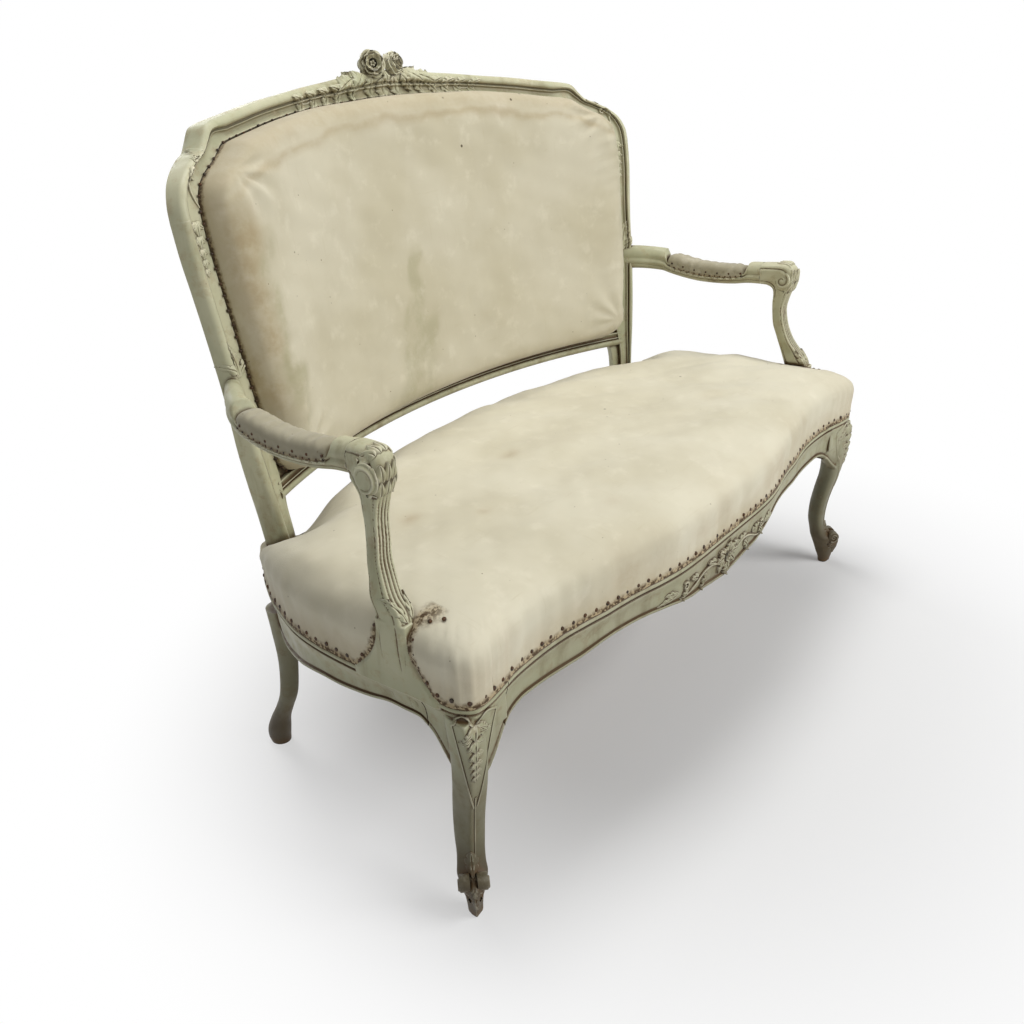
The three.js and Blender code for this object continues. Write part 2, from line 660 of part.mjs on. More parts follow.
// The same section without its rebate.
const plain_section_shares = frame_section_shares.map(([share, level]) => {
  if (level > 1 || share < rebate_share) return [share, level];
  return [level === 1 && share < 1 ? (1 + share) / 2 : share, 0];
});

function stile_edges(z) {
  const height = z / back_height;
  const outer = read_share(stile_shares, height) * back_half_width;
  const inner = outer - read_share(stile_shares, height, 2) * stile_width;
  return [[outer, z], [inner, z]];
}

function stile(grow = 0) {
  const start = stile_shares[0][0] * back_height;
  const rebated = back_bottom;
  const heights = [
    ...spread(start, rebated, 3), ...spread(rebated + overrun, stile_joint_height - fit_gap, 9),
  ];
  return loft(heights.map((z) => {
    const [outer, inner] = stile_edges(z);
    const depth = read_share(stile_shares, z / back_height, 3) * frame_depth;
    const depths = [depth, z <= rebated ? depth : frame_depth];
    const section = z <= rebated ? plain_section_shares : frame_section_shares;
    return frame_ring(outer, inner, section, depths, grow);
  }));
}

// A short tongue along a back frame member: stations are [outer, inner] edge pairs.
function frame_tongue(stations, grow = 0) {
  const share = tenon_thickness / frame_depth / 2;
  return loft(stations.map(([outer, inner]) => {
    const at = (across, deep, way) => {
      const x = outer[0] + (inner[0] - outer[0]) * across;
      const z = outer[1] + (inner[1] - outer[1]) * across;
      const point = back_point(x, z, frame_depth * deep + way[1] * grow);
      const side = new THREE.Vector3(inner[0] - outer[0], 0, inner[1] - outer[1]).normalize();
      return point.addScaledVector(side, way[0] * grow);
    };
    return [
      at(0.3, 0.5 - share, [-1, -1]), at(0.75, 0.5 - share, [1, -1]),
      at(0.75, 0.5 + share, [1, 1]), at(0.3, 0.5 + share, [-1, 1]),
    ];
  }));
}

function crest_tenon(grow = 0) {
  const heights = [stile_joint_height - tenon_length - grow, stile_joint_height + overrun];
  return frame_tongue(heights.map((z) => stile_edges(Math.min(z, stile_joint_height))
    .map(([x]) => [x, z])), grow);
}

function lower_rail_edges(x) {
  return [[x, back_bottom], [x, back_bottom + lower_rail_height]];
}

function lower_tenon(grow = 0) {
  const inner = stile_edges(back_bottom + lower_rail_height / 2)[1][0];
  const places = [inner - overrun, inner + tenon_length * 0.7 + grow];
  return frame_tongue(places.map(lower_rail_edges), grow);
}

// The post's block between the rails: it follows the seat's outline outside its two shoulders.
function rear_block() {
  const [from, to] = [place_rear(rear_shoulder_across), place_side(rear_shoulder_back)];
  const places = spread(from, to, 12);
  const plan = (inset) => {
    const points = places.map((u) => {
      const { point, out } = seat_place(u);
      return point.clone().addScaledVector(out, -inset);
    });
    points[0].x = rear_shoulder_across;
    points[points.length - 1].y = rear_shoulder_back;
    return [new THREE.Vector3(rear_shoulder_across, rear_shoulder_back, 0), ...points];
  };
  const face = rail_face_shares.map(([bead, tuck, drop]) => [
    seat_height - drop * rail_height, -bead * rail_bead - tuck * rail_tuck,
  ]);
  const levels = [...face.reverse(), [seat_height + fit_gap / 2, ledge], [wood_top, ledge]];
  return loft(levels.map(([z, inset]) => plan(inset).map((point) => {
    point.z = z;
    return point;
  })));
}

function rear_post() {
  const foot = new THREE.Vector3(rear_foot_across, rear_foot_back, 0);
  const rings = rear_leg_shares.map(([height, kick, half]) => {
    const radius = (half * rear_leg_width) / 2;
    return spread(0, 360, 12).slice(1).map((degrees) => {
      const angle = THREE.MathUtils.degToRad(degrees);
      const x = foot.x + radius * Math.cos(angle);
      const y = foot.y + kick * rear_kick + radius * Math.sin(angle) * (1 + kick * rear_oval_share);
      return new THREE.Vector3(x, y, height * seat_height);
    });
  });
  return cut(
    join(loft(rings), rear_block(), stile()), side_rear_tenon(fit_gap), rear_tenon(fit_gap),
    crest_tenon(fit_gap), lower_tenon(fit_gap), rear_dowel(fit_gap),
    block_screw(rear_notch, rear_towards, fit_gap),
  );
}

// Crest rail with its two roses
function crest_edges() {
  return crest_shares.map(([ox, oz, ix, iz]) => [
    [ox * back_half_width, oz * back_height], [ix * back_half_width, iz * back_height],
  ]);
}

function rose(x, z, forward, size) {
  const geometry = new THREE.IcosahedronGeometry(rose_radius * size, 1);
  const at = back_point(x, z, -forward);
  return geometry.scale(1, 0.7, 1).translate(at.x, at.y, at.z);
}

function crest_rail() {
  const half = crest_edges();
  half[0] = stile_edges(stile_joint_height).map(([x]) => [x, stile_joint_height]);
  const other = half.slice(0, -1).reverse().map((pair) => pair.map(([x, z]) => [-x, z]));
  const rings = [...half, ...other].map(([outer, inner], i, all) => {
    const row = crest_shares[Math.min(i, all.length - 1 - i)];
    return frame_ring(outer, inner, frame_section_shares, [row[4] * frame_depth, frame_depth]);
  });
  const roses = rose_shares.map(([across, up, forward, size]) => rose(
    across * rose_radius, back_height + up * rose_radius, forward * rose_radius, size,
  ));
  return join(loft(rings), ...roses, crest_tenon(), mirrored(crest_tenon()));
}

function back_lower_rail() {
  const [outer_edge, inner_edge] = stile_edges(back_bottom + lower_rail_height / 2);
  const reach = (outer_edge[0] + inner_edge[0]) / 2;
  const rings = spread(-reach, reach, 18).map((x) => {
    const [outer, inner] = lower_rail_edges(x);
    return frame_ring(outer, inner, frame_section_shares, [frame_depth, frame_depth]);
  });
  const stile_cutter = stile(fit_gap);
  const body = cut(loft(rings), stile_cutter, mirrored(stile_cutter));
  return join(body, lower_tenon(), mirrored(lower_tenon()));
}

// Arms. A place on the arm is named by its share of the seat's depth.
const arm_table = arm_shares.slice().reverse();
const [arm_front, arm_rear] = [arm_table[0][0], arm_table[arm_table.length - 1][0]];
const padded_shares = arm_table.filter((row) => row[5]).map((row) => row[0]);
const [pad_front, pad_rear] = [padded_shares[0], padded_shares[padded_shares.length - 1]];

function arm_at(back) {
  const place = (at) => {
    const across = read_share(arm_table, at) * seat_half_width;
    return new THREE.Vector3(across, at * seat_depth, 0);
  };
  const nudge = (arm_rear - arm_front) / arm_steps / 2;
  const [before, after] = [Math.max(back - nudge, arm_front), Math.min(back + nudge, arm_rear)];
  const way = place(before).sub(place(after)).normalize();
  if (back === arm_front) way.set(0, -1, 0);
  const [top, bottom, width] = [2, 3, 4].map((column) => read_share(arm_table, back, column));
  return { point: place(back), side: new THREE.Vector3(-way.y, way.x, 0), way, top, bottom, width };
}

function arm_ring(back) {
  const { point, side, top, bottom, width } = arm_at(back);
  if (back === arm_front) point.y = arm_joint_back + fit_gap;
  const padded = back >= pad_front && back <= pad_rear;
  return arm_section_shares.map(([across, full, seated]) => {
    const at = point.clone().addScaledVector(side, across * width * arm_width);
    at.z = (bottom + (top - bottom) * (padded ? seated : full)) * arm_height;
    return at;
  });
}

function rear_dowel(grow = 0) {
  const { point, way, top, bottom } = arm_at(arm_shares[1][0]);
  point.z = ((top + bottom) / 2) * arm_height;
  const reach = way.clone().multiplyScalar(dowel_length / 2 + grow);
  const middle = point.clone().addScaledVector(way, -dowel_length / 2);
  return bar(middle.clone().sub(reach), middle.clone().add(reach), dowel_radius + grow);
}

function front_dowel(grow = 0) {
  const { point, top, bottom } = arm_at(arm_front);
  const z = ((top + bottom) / 2) * arm_height;
  const x = point.x;
  const half = dowel_length / 2 + grow;
  const from = new THREE.Vector3(x, arm_joint_back - half, z);
  return bar(from, new THREE.Vector3(x, arm_joint_back + half, z), dowel_radius + grow);
}

function arm() {
  const plain = arm_shares.filter((row) => !row[5]).map((row) => row[0]);
  const padded = spread(pad_rear, pad_front, arm_steps);
  const stations = [...plain, ...padded].sort((a, b) => b - a);
  const body = loft(stations.map((back) => arm_ring(back)));
  return cut(body, stile(fit_gap), rear_dowel(fit_gap), front_dowel(fit_gap));
}

function arm_pad_ring(share, rise, inset, floor) {
  const { point, side, top, bottom, width } = arm_at(pad_rear + (pad_front - pad_rear) * share);
  const seat = (bottom + (top - bottom) * pad_seat_share) * arm_height + floor;
  const full = (top - bottom) * (1 - pad_seat_share) * arm_height - floor - inset;
  return arm_pad_section_shares.map(([across, height]) => {
    const narrow = 1 - (1 - rise) * pad_taper_share;
    const at = point.clone().addScaledVector(side, across * (arm_width * width - 2 * inset) * narrow);
    at.z = seat + full * height * rise;
    return at;
  });
}

function arm_pad() {
  return loft(arm_pad_shares.map(([share, rise]) => {
    const held = THREE.MathUtils.clamp(share, pad_end_share, 1 - pad_end_share);
    return arm_pad_ring(held, rise * (1 - 3 * pad_end_share), cloth + fit_gap, 2 * fit_gap);
  }));
}

function arm_cover() {
  return loft(arm_pad_shares.map(([share, rise]) => {
    const outside = arm_pad_ring(share, rise, 0, fit_gap);
    const inside = arm_pad_ring(share, rise, cloth, fit_gap);
    return [...outside, ...inside.reverse()];
  }));
}

// Arm support, from the side rail up to the knuckle
function support_ring(row, grow = 0) {
  const [front, front_height, rear, rear_height, inwards, width] = support_shares[row];
  const outer = seat_place(place_side(((front + rear) / 2) * seat_depth)).point.x;
  const foot = outer - support_foot / 2;
  const in_rail = front_height < support_foot_share;
  const x = (in_rail ? foot : support_base_across) + inwards * seat_half_width;
  const a = new THREE.Vector3(x, front * seat_depth, front_height * arm_height);
  const b = new THREE.Vector3(x, rear * seat_depth, rear_height * arm_height);
  if (row === support_shares.length - 1) a.y = b.y = arm_joint_back;
  const way = b.clone().sub(a).normalize();
  return support_section_shares.map(([share, side]) => {
    const at = a.clone().lerp(b, share).addScaledVector(way, (share - 0.5) * 2 * grow);
    at.x += side * (width * support_width + 2 * grow);
    return at;
  });
}
const support_base = seat_place(place_side(support_base_share * seat_depth)).point;
const support_base_across = support_base.x - support_foot / 2;

function support_screw_places() {
  const [front, , rear] = support_shares[0];
  const y = ((front + rear) / 2) * seat_depth;
  const inner = seat_place(place_side(y)).point.x - rail_thickness;
  const low = support_shares[0][1] * arm_height;
  return support_screw_shares.map(
    (share) => new THREE.Vector3(inner, y, low + (wood_top - low) * share),
  );
}

// Countersunk screw: its head's face lies at the given place and its shank runs along the way.
function screw(place, way, grow = 0, length = screw_length) {
  const profile = [
    [0, -grow], [screw_head_radius + grow, -grow], [screw_head_radius + grow, 0],
    [screw_radius + grow, screw_head_height], [screw_radius + grow, length - screw_radius],
    [0, length + grow],
  ].map(([r, h]) => new THREE.Vector2(r, h));
  const geometry = strip(new THREE.LatheGeometry(profile, 8));
  const turn = new THREE.Quaternion().setFromUnitVectors(
    new THREE.Vector3(0, 1, 0), way.clone().normalize(),
  );
  return geometry.applyQuaternion(turn).translate(place.x, place.y, place.z);
}

// The bare closed body: positions and faces only, with shared points merged.
function strip(geometry) {
  geometry.deleteAttribute('normal');
  geometry.deleteAttribute('uv');
  return mergeVertices(geometry);
}

const outwards = new THREE.Vector3(1, 0, 0);

function arm_support() {
  const body = loft(support_shares.map((_, row) => support_ring(row)));
  const [front, front_height, inwards] = volute_shares;
  const middle = new THREE.Vector3(
    support_base_across + inwards * seat_half_width, front * seat_depth + volute_radius,
    front_height * arm_height - volute_radius / 8,
  );
  const half = new THREE.Vector3(volute_width / 2, 0, 0);
  const volute = bar(middle.clone().sub(half), middle.clone().add(half), volute_radius, 14);
  const screws = support_screw_places().map((place) => screw(place, outwards, fit_gap));
  return cut(join(body, volute), front_dowel(fit_gap), ...screws);
}

function support_cutter() {
  const rows = [...support_shares.keys()].filter((row) => support_shares[row][1] < support_let_in_share);
  const rings = rows.map((row) => support_ring(row, fit_gap));
  rings[0].forEach((point) => { point.z -= fit_gap; });
  return loft(rings);
}

function finished_side_rail() {
  const screws = support_screw_places().map((place) => screw(place, outwards, fit_gap));
  return cut(join(side_rail(), side_front_tenon(), side_rear_tenon()), support_cutter(), ...screws);
}

function finished_front_rail() {
  return cut(join(front_rail(), front_tenon(), mirrored(front_tenon())), seat_brace(fit_gap));
}

function finished_rear_rail() {
  const screw_hole = block_screw(rear_notch, rear_towards, fit_gap);
  const rail = join(rear_rail(), rear_tenon(), mirrored(rear_tenon()));
  return cut(rail, seat_brace(fit_gap), screw_hole, mirrored(screw_hole));
}

// Brace under the webbing, from the front rail to the rear rail
function seat_brace(grow = 0) {
  const front = rail_thickness - brace_housing;
  const rear = seat_depth - ledge - rear_rail_thickness + brace_housing;
  const top = wood_top - tacking_height / 2;
  const shape = new THREE.Shape();
  shape.moveTo(front - grow, top - brace_height - grow);
  shape.lineTo(rear + grow, top - brace_height - grow);
  shape.lineTo(rear + grow, top + grow);
  shape.quadraticCurveTo((front + rear) / 2, top - brace_height / 3 + grow, front - grow, top + grow);
  const width = brace_width + 2 * grow;
  const options = { depth: width, bevelEnabled: false, curveSegments: 6 };
  const geometry = new THREE.ExtrudeGeometry(shape, options);
  geometry.rotateX(Math.PI / 2).rotateZ(Math.PI / 2).translate(-width / 2, 0, 0);
  return strip(geometry);
}

// Corner blocks, glued and screwed in the corners behind the front legs and rear posts
const block_top = wood_top - tacking_height / 2;

function corner_block(notch, towards, run_in, cutters) {
  const at = (dx, dy) => new THREE.Vector2(notch[0] + towards[0] * dx, notch[1] + towards[1] * dy);
  const [far_x, far_y] = run_in.map((share) => share * rail_thickness);
  const shape = new THREE.Shape([
    at(fit_gap, fit_gap), at(-far_x, fit_gap), at(-far_x, block_reach), at(0, block_reach),
    at(block_reach, 0), at(block_reach, -far_y), at(fit_gap, -far_y),
  ]);
  const geometry = strip(new THREE.ExtrudeGeometry(shape, { depth: block_height, bevelEnabled: false }));
  return cut(geometry.translate(0, 0, block_top - block_height), ...cutters);
}

function block_screw_place(notch, towards) {
  const middle = block_reach / 2;
  const z = block_top - block_height / 2;
  return new THREE.Vector3(notch[0] + towards[0] * middle, notch[1] + towards[1] * middle, z);
}

const front_notch = [front_shoulder, side_shoulder];
const front_towards = [-1, 1];
const rear_notch = [rear_shoulder_across, rear_shoulder_back];
const rear_towards = [-1, -1];
const front_block_run_shares = [1.6, 1.6]; // how far each arm runs before the rail cuts it
const rear_block_run_shares = [2.35, 0.75];

function block_screw(notch, towards, grow = 0) {
  const way = new THREE.Vector3(-towards[0], -towards[1], 0);
  return screw(block_screw_place(notch, towards), way, grow, block_screw_length);
}

function front_corner_block() {
  const hole = block_screw(front_notch, front_towards, fit_gap);
  const cutters = [front_rail(fit_gap), side_rail(fit_gap), hole];
  return corner_block(front_notch, front_towards, front_block_run_shares, cutters);
}

function rear_corner_block() {
  const hole = block_screw(rear_notch, rear_towards, fit_gap);
  const cutters = [rear_rail(fit_gap), side_rail(fit_gap), hole];
  return corner_block(rear_notch, rear_towards, rear_block_run_shares, cutters);
}

// Webbing
const web_clear_share = 1.15; // a crossing strap stays lifted this far past the one it crosses
const seat_cross_web_shares = [0.36, 0.68]; // along the seat
const back_cross_web_shares = [0.58, 0.78]; // up the back
const web_level = wood_top + fit_gap + web_thickness / 2;
const web_places = [-3, -2, -1, 0, 1, 2, 3].map((step) => step * web_spacing);

function long_web(x) {
  const edge = web_width / 2;
  const inset = rail_thickness / 3 + ledge;
  const ends = (find) => [x - edge, x, x + edge].map(
    (at) => seat_place(find(Math.max(Math.abs(at), fit_gap))).point.y,
  );
  const [front, rear] = [Math.max(...ends(place_across)) + inset, Math.min(...ends(place_rear)) - inset];
  const low = web_level - web_thickness / 2;
  return box([x - edge, front, low], [x + edge, rear, low + web_thickness]);
}

// A strap through the long webs, over and under by turns: rows are [x, height].
function cross_web(y) {
  const edge = web_width / 2;
  const reach = seat_place(place_side(y)).point.x - rail_thickness / 3 - ledge - edge / 4;
  const lift = web_thickness + fit_gap;
  const line = [[-reach, 0], [-reach + rail_thickness / 2, 0]];
  web_places.forEach((x, i) => {
    const side = i % 2 ? -1 : 1;
    line.push([x - edge * web_clear_share, side * lift], [x + edge * web_clear_share, side * lift]);
  });
  line.push([reach - rail_thickness / 2, 0], [reach, 0]);
  return loft(line.map(([x, rise]) => {
    const z = web_level + rise;
    const half = web_thickness / 2;
    return [[-edge, -half], [edge, -half], [edge, half], [-edge, half]]
      .map(([dy, dz]) => new THREE.Vector3(x, y + dy, z + dz));
  }));
}

// Hessian over the webbing
const hessian_bottom = web_level + web_thickness * 1.5 + 2 * fit_gap;
const hessian_top = hessian_bottom + hessian;

function outline_points(count_half) {
  const half = spread(0, 0.5, count_half);
  return [...half, ...half.slice(1, -1).map((u) => 1 - u).reverse()];
}

const hessian_corners_half = 28;

function seat_hessian() {
  const inset = support_foot + ledge + fit_gap * 4;
  const corners = outline_points(hessian_corners_half).map((u) => {
    const { point, out } = seat_place(u);
    const at = point.clone().addScaledVector(out, -inset);
    return new THREE.Vector2(at.x, at.y);
  });
  const options = { depth: hessian, bevelEnabled: false };
  const geometry = new THREE.ExtrudeGeometry(new THREE.Shape(corners), options);
  const corner = corner_clearing(tuck_gap);
  return cut(strip(geometry).translate(0, 0, hessian_bottom), corner, mirrored(corner));
}

// Seat cushion rings: hand-picked places round the outline, closer together at the corners.
const corner_window_share = 0.015; // of the outline, on each side of a front corner
const ring_places = (() => {
  const rear = place_rear(rear_shoulder_across);
  const side = place_side(rear_shoulder_back);
  const stops = [
    [0, 2], [place_rear(rear_shoulder_across - 1.7 * tuck_reach), 2], [rear, 7], [side, 2],
    [place_side(rear_shoulder_back - 1.2 * tuck_reach), 4], [corner_place - corner_window_share, 4],
    [corner_place + corner_window_share, 7], [0.5, 0],
  ];
  const half = stops.slice(0, -1).flatMap(
    ([at, steps], i) => spread(at, stops[i + 1][0], steps).slice(0, -1),
  );
  return [...half, 0.5, ...half.slice(1).map((u) => 1 - u).reverse()];
})();

const stile_foot = (() => {
  const [outer, inner] = stile_edges(wood_top);
  return back_point((outer[0] + inner[0]) / 2, wood_top);
})();

function seat_ring(inwards, height, swell) {
  const half_line = seat_middle_share * seat_half_width;
  return ring_places.map((u) => {
    const { point, out } = seat_place(u);
    const across = THREE.MathUtils.clamp(point.x, -half_line, half_line);
    const middle = new THREE.Vector3(across, seat_depth / 2, 0);
    const at = point.clone().addScaledVector(out, swell).lerp(middle, inwards);
    const away = Math.hypot(Math.abs(at.x) - stile_foot.x, at.y - stile_foot.y) / tuck_reach;
    at.z = seat_height + (height - seat_height) * (1 - tuck_share * Math.exp(-away * away));
    return at;
  });
}

function seat_rings(inset, rows = seat_pad_shares.keys()) {
  return [...rows].map((row) => {
    const [inwards, height, swell] = seat_pad_shares[row];
    const z = seat_height + fit_gap + height * (pad_height - fit_gap) - inset * Math.min(1, height * 1.2);
    return seat_ring(inwards, z, swell * ledge - inset);
  });
}

// The corner outside and behind a stile, where the seat has no cushion.
function corner_clearing(gap) {
  return loft([wood_top + cloth + 2 * fit_gap, seat_height + pad_height + overrun].map((z) => {
    const [outer, inner] = stile_edges(z);
    const far = [outer[0] + 2 * stile_width, z];
    const depths = [2 * stile_width, 2 * stile_width];
    return frame_ring(far, inner, [[0, 0], [1, 0], [1, 3], [0, 3]], depths, gap);
  }));
}

function seat_cutters(gap) {
  const corner = corner_clearing(gap);
  const support = support_cutter();
  const post = stile(tuck_line);
  return [corner, mirrored(corner), support, mirrored(support), post, mirrored(post)];
}

function seat_stuffing() {
  const floor = hessian_top + fit_gap;
  const rings = seat_rings(cloth + 2 * fit_gap, seat_stuffing_rows);
  rings.forEach((ring, i) => ring.forEach((point) => {
    point.z = Math.max(point.z, floor + fit_gap * (i + 1));
  }));
  const bottom = seat_ring(0, floor, -cloth - fit_gap);
  bottom.forEach((point) => { point.z = floor; });
  const guide = [bottom, ...seat_rings(0, seat_stuffing_rows)];
  return cut(loft([bottom, ...rings], strip_faces, guide), ...seat_cutters(tuck_gap));
}

function seat_cover() {
  const outside = seat_rings(0);
  const inside = seat_rings(cloth, seat_lining_rows);
  inside[0].forEach((point, k) => { point.z = outside[0][k].z; });
  const guide = [...seat_lining_rows.map((row) => outside[row]).reverse(), ...outside];
  const body = loft([...inside.reverse(), ...outside], strip_faces, guide);
  return cut(body, ...seat_cutters(tuck_line));
}

// The back's cloth line, where the cloth meets the show wood: [x, z] round the whole back.
const cloth_line = (() => {
  const at = ([outer, inner]) => {
    const share = rebate_share + cloth_lap_share;
    return [outer[0] + (inner[0] - outer[0]) * share, outer[1] + (inner[1] - outer[1]) * share];
  };
  const lower = lower_line_shares.map((share) => at(lower_rail_edges(share * back_half_width)));
  const start = back_bottom + lower_rail_height * 1.3;
  const side = spread(start, stile_joint_height - fit_gap, 6).slice(0, -1).map((z) => at(stile_edges(z)));
  const corner = [(lower[3][0] + 2 * side[0][0]) / 3, (2 * lower[3][1] + side[0][1]) / 3];
  const crest = crest_edges().filter((_, i) => i < 8 || i % 2 === 0).map(at);
  const half = [...lower, corner, ...side, ...crest];
  return [...half, ...half.slice(1, -1).map(([x, z]) => [-x, z]).reverse()];
})();

function back_ring(inwards, behind) {
  const half_line = back_middle_share * back_half_width;
  return cloth_line.map(([x, z]) => {
    const across = THREE.MathUtils.clamp(x, -half_line, half_line);
    const height = back_middle_height_share * back_height;
    return back_point(x + (across - x) * inwards, z + (height - z) * inwards, behind);
  });
}

function back_rings(inset) {
  return back_pad_shares.map(([inwards, bulge]) => {
    const shrink = inwards < back_pad_shares[4][0] ? (2.2 * inset) / (back_height - back_bottom) : 0;
    const behind = rebate_depth / 2 - bulge * back_pad_bulge + inset * Math.min(1, bulge * 2);
    return back_ring(inwards + shrink, behind);
  });
}

const sheet_shares = [0, 0.12, 0.24, 0.36, 0.48, 0.6, 0.7, 0.8, 0.88, 0.94, 0.97];
const back_web_level = rebate_depth - 3 * fit_gap - web_thickness / 2;
const back_hessian_front = back_web_level - web_thickness * 1.5 - 4 * fit_gap - hessian;

function back_stuffing() {
  const flat = back_flat_shares.map((share) => back_ring(share, back_hessian_front - 2 * fit_gap));
  return loft([...flat, ...back_rings(cloth + fit_gap).slice(1)], strip_faces);
}

function back_cover() {
  const outside = back_rings(0);
  const inside = back_rings(cloth).reverse();
  return loft([...inside, ...outside], strip_faces);
}

// Lowest and highest point of the cloth line at a distance from the middle.
function cloth_span(x) {
  const heights = cloth_line.flatMap(([ax, az], i) => {
    const [bx, bz] = cloth_line[(i + 1) % cloth_line.length];
    if ((ax < x) === (bx < x)) return [];
    return [az + ((bz - az) * (x - ax)) / (bx - ax)];
  });
  return [Math.min(...heights), Math.max(...heights)];
}

// A thin sheet that follows the back, in upright strips.
function back_sheet(front, thickness) {
  const widest = Math.max(...cloth_line.map(([x]) => x));
  const half = sheet_shares.map((share) => share * widest);
  const columns = [...half.slice(1).reverse().map((x) => -x), ...half];
  return loft(columns.map((x) => {
    const span = cloth_span(x + Math.sign(x) * sheet_edge);
    const [low, high] = [span[0] + sheet_edge, span[1] - sheet_edge];
    return [
      back_point(x, low, front), back_point(x, low, front + thickness),
      back_point(x, high, front + thickness), back_point(x, high, front),
    ];
  }));
}

function back_upright_web(x) {
  const [low, high] = cloth_span(x);
  const half = web_thickness / 2;
  return loft([x - web_width / 2, x, x + web_width / 2].map((at) => [
    back_point(at, low + sheet_edge, back_web_level - half),
    back_point(at, low + sheet_edge, back_web_level + half),
    back_point(at, high - sheet_edge, back_web_level + half),
    back_point(at, high - sheet_edge, back_web_level - half),
  ]));
}

const back_web_places = [-1, 0, 1].map((step) => step * back_web_spacing);

// The same row of places with no step longer than the given one.
function subdivide(line, longest) {
  return line.flatMap(([x, rise], i) => {
    if (i === line.length - 1) return [[x, rise]];
    const [next_x, next_rise] = line[i + 1];
    const steps = Math.ceil((next_x - x) / longest);
    return spread(0, 1, steps).slice(0, -1)
      .map((t) => [x + (next_x - x) * t, rise + (next_rise - rise) * t]);
  });
}

// A strap across the upright ones, behind and before them by turns: rows are [x, lift].
function back_cross_web(z) {
  const reach = stile_edges(z)[1][0] + stile_width / 6;
  const edge = (web_width / 2) * web_clear_share;
  const lift = web_thickness + fit_gap;
  const line = [[-reach, 0], [-back_web_spacing - web_width, 0]];
  back_web_places.forEach((x, i) => {
    const side = i % 2 ? 1 : -1;
    line.push([x - edge, side * lift], [x, side * lift], [x + edge, side * lift]);
    if (i < back_web_places.length - 1) line.push([x + back_web_spacing / 2, 0]);
  });
  line.push([back_web_spacing + web_width, 0], [reach, 0]);
  const [wide, half] = [web_width / 2, web_thickness / 2];
  const section = [[-wide, -half], [wide, -half], [wide, half], [-wide, half]];
  return loft(subdivide(line, web_width).map(([x, rise]) => section.map(
    ([up, deep]) => back_point(x, z + up, back_web_level + rise + deep),
  )));
}

// Finishes
const finishes = {
  painted_wood: new THREE.MeshStandardMaterial({ color: 0xb8bda2, roughness: 0.55, metalness: 0 }),
  bare_wood: new THREE.MeshStandardMaterial({ color: 0xa2875f, roughness: 0.75, metalness: 0 }),
  calico: new THREE.MeshStandardMaterial({ color: 0xdad3bd, roughness: 0.95, metalness: 0 }),
  hessian: new THREE.MeshStandardMaterial({ color: 0x9b8462, roughness: 1, metalness: 0 }),
  webbing: new THREE.MeshStandardMaterial({ color: 0xb39f78, roughness: 0.95, metalness: 0 }),
  stuffing: new THREE.MeshStandardMaterial({ color: 0x5b4a3a, roughness: 1, metalness: 0 }),
  steel: new THREE.MeshStandardMaterial({ color: 0x77736c, roughness: 0.45, metalness: 0.9 }),
};

const sofa = new THREE.Group();

function add(name, geometry, finish) {
  const bare = strip(geometry);
  bare.computeVertexNormals();
  const mesh = new THREE.Mesh(bare, finishes[finish].clone());
  mesh.name = name;
  sofa.add(mesh);
}

function add_pair(name, geometry, finish) {
  add(`${name}_right`, geometry, finish);
  add(`${name}_left`, mirrored(geometry), finish);
}

add_pair('front_leg', front_leg(), 'painted_wood');
add_pair('rear_post', rear_post(), 'painted_wood');
add('front_rail', finished_front_rail(), 'painted_wood');
add('rear_rail', finished_rear_rail(), 'bare_wood');
add_pair('side_rail', finished_side_rail(), 'painted_wood');
add('crest_rail', crest_rail(), 'painted_wood');
add('back_lower_rail', back_lower_rail(), 'painted_wood');
add_pair('arm', arm(), 'painted_wood');
add_pair('arm_support', arm_support(), 'painted_wood');
add_pair('arm_pad', arm_pad(), 'stuffing');
add_pair('arm_cover', arm_cover(), 'calico');
add_pair('front_corner_block', front_corner_block(), 'bare_wood');
add_pair('rear_corner_block', rear_corner_block(), 'bare_wood');
add('seat_brace', seat_brace(), 'bare_wood');
web_places.forEach((x, i) => add(`seat_web_long_${i + 1}`, long_web(x), 'webbing'));
seat_cross_web_shares.forEach((share, i) => {
  add(`seat_web_cross_${i + 1}`, cross_web(share * seat_depth), 'webbing');
});
add('seat_hessian', seat_hessian(), 'hessian');
add('seat_stuffing', seat_stuffing(), 'stuffing');
add('seat_cover', seat_cover(), 'calico');
back_web_places.forEach((x, i) => add(`back_web_upright_${i + 1}`, back_upright_web(x), 'webbing'));
back_cross_web_shares.forEach((share, i) => {
  add(`back_web_cross_${i + 1}`, back_cross_web(share * back_height), 'webbing');
});
add('back_hessian', back_sheet(back_hessian_front, hessian), 'hessian');
add('back_stuffing', back_stuffing(), 'stuffing');
add('back_cover', back_cover(), 'calico');
add('outside_back_cover', back_sheet(frame_depth + 2 * fit_gap, cloth), 'calico');
add_pair('arm_rear_dowel', rear_dowel(), 'bare_wood');
add_pair('arm_front_dowel', front_dowel(), 'bare_wood');
support_screw_places().forEach((place, i) => {
  add_pair(`support_screw_${i + 1}`, screw(place, outwards), 'steel');
});
add_pair('front_block_screw', block_screw(front_notch, front_towards), 'steel');
add_pair('rear_block_screw', block_screw(rear_notch, rear_towards), 'steel');

// The finished sofa stands with the middle of its footprint on the origin.
const bounds = new THREE.Box3().setFromObject(sofa);
sofa.position.y = -(bounds.min.y + bounds.max.y) / 2;

export default sofa;
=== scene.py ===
import math

import bmesh
import bpy
import numpy as np
from mathutils import Matrix, Vector
from mathutils.bvhtree import BVHTree


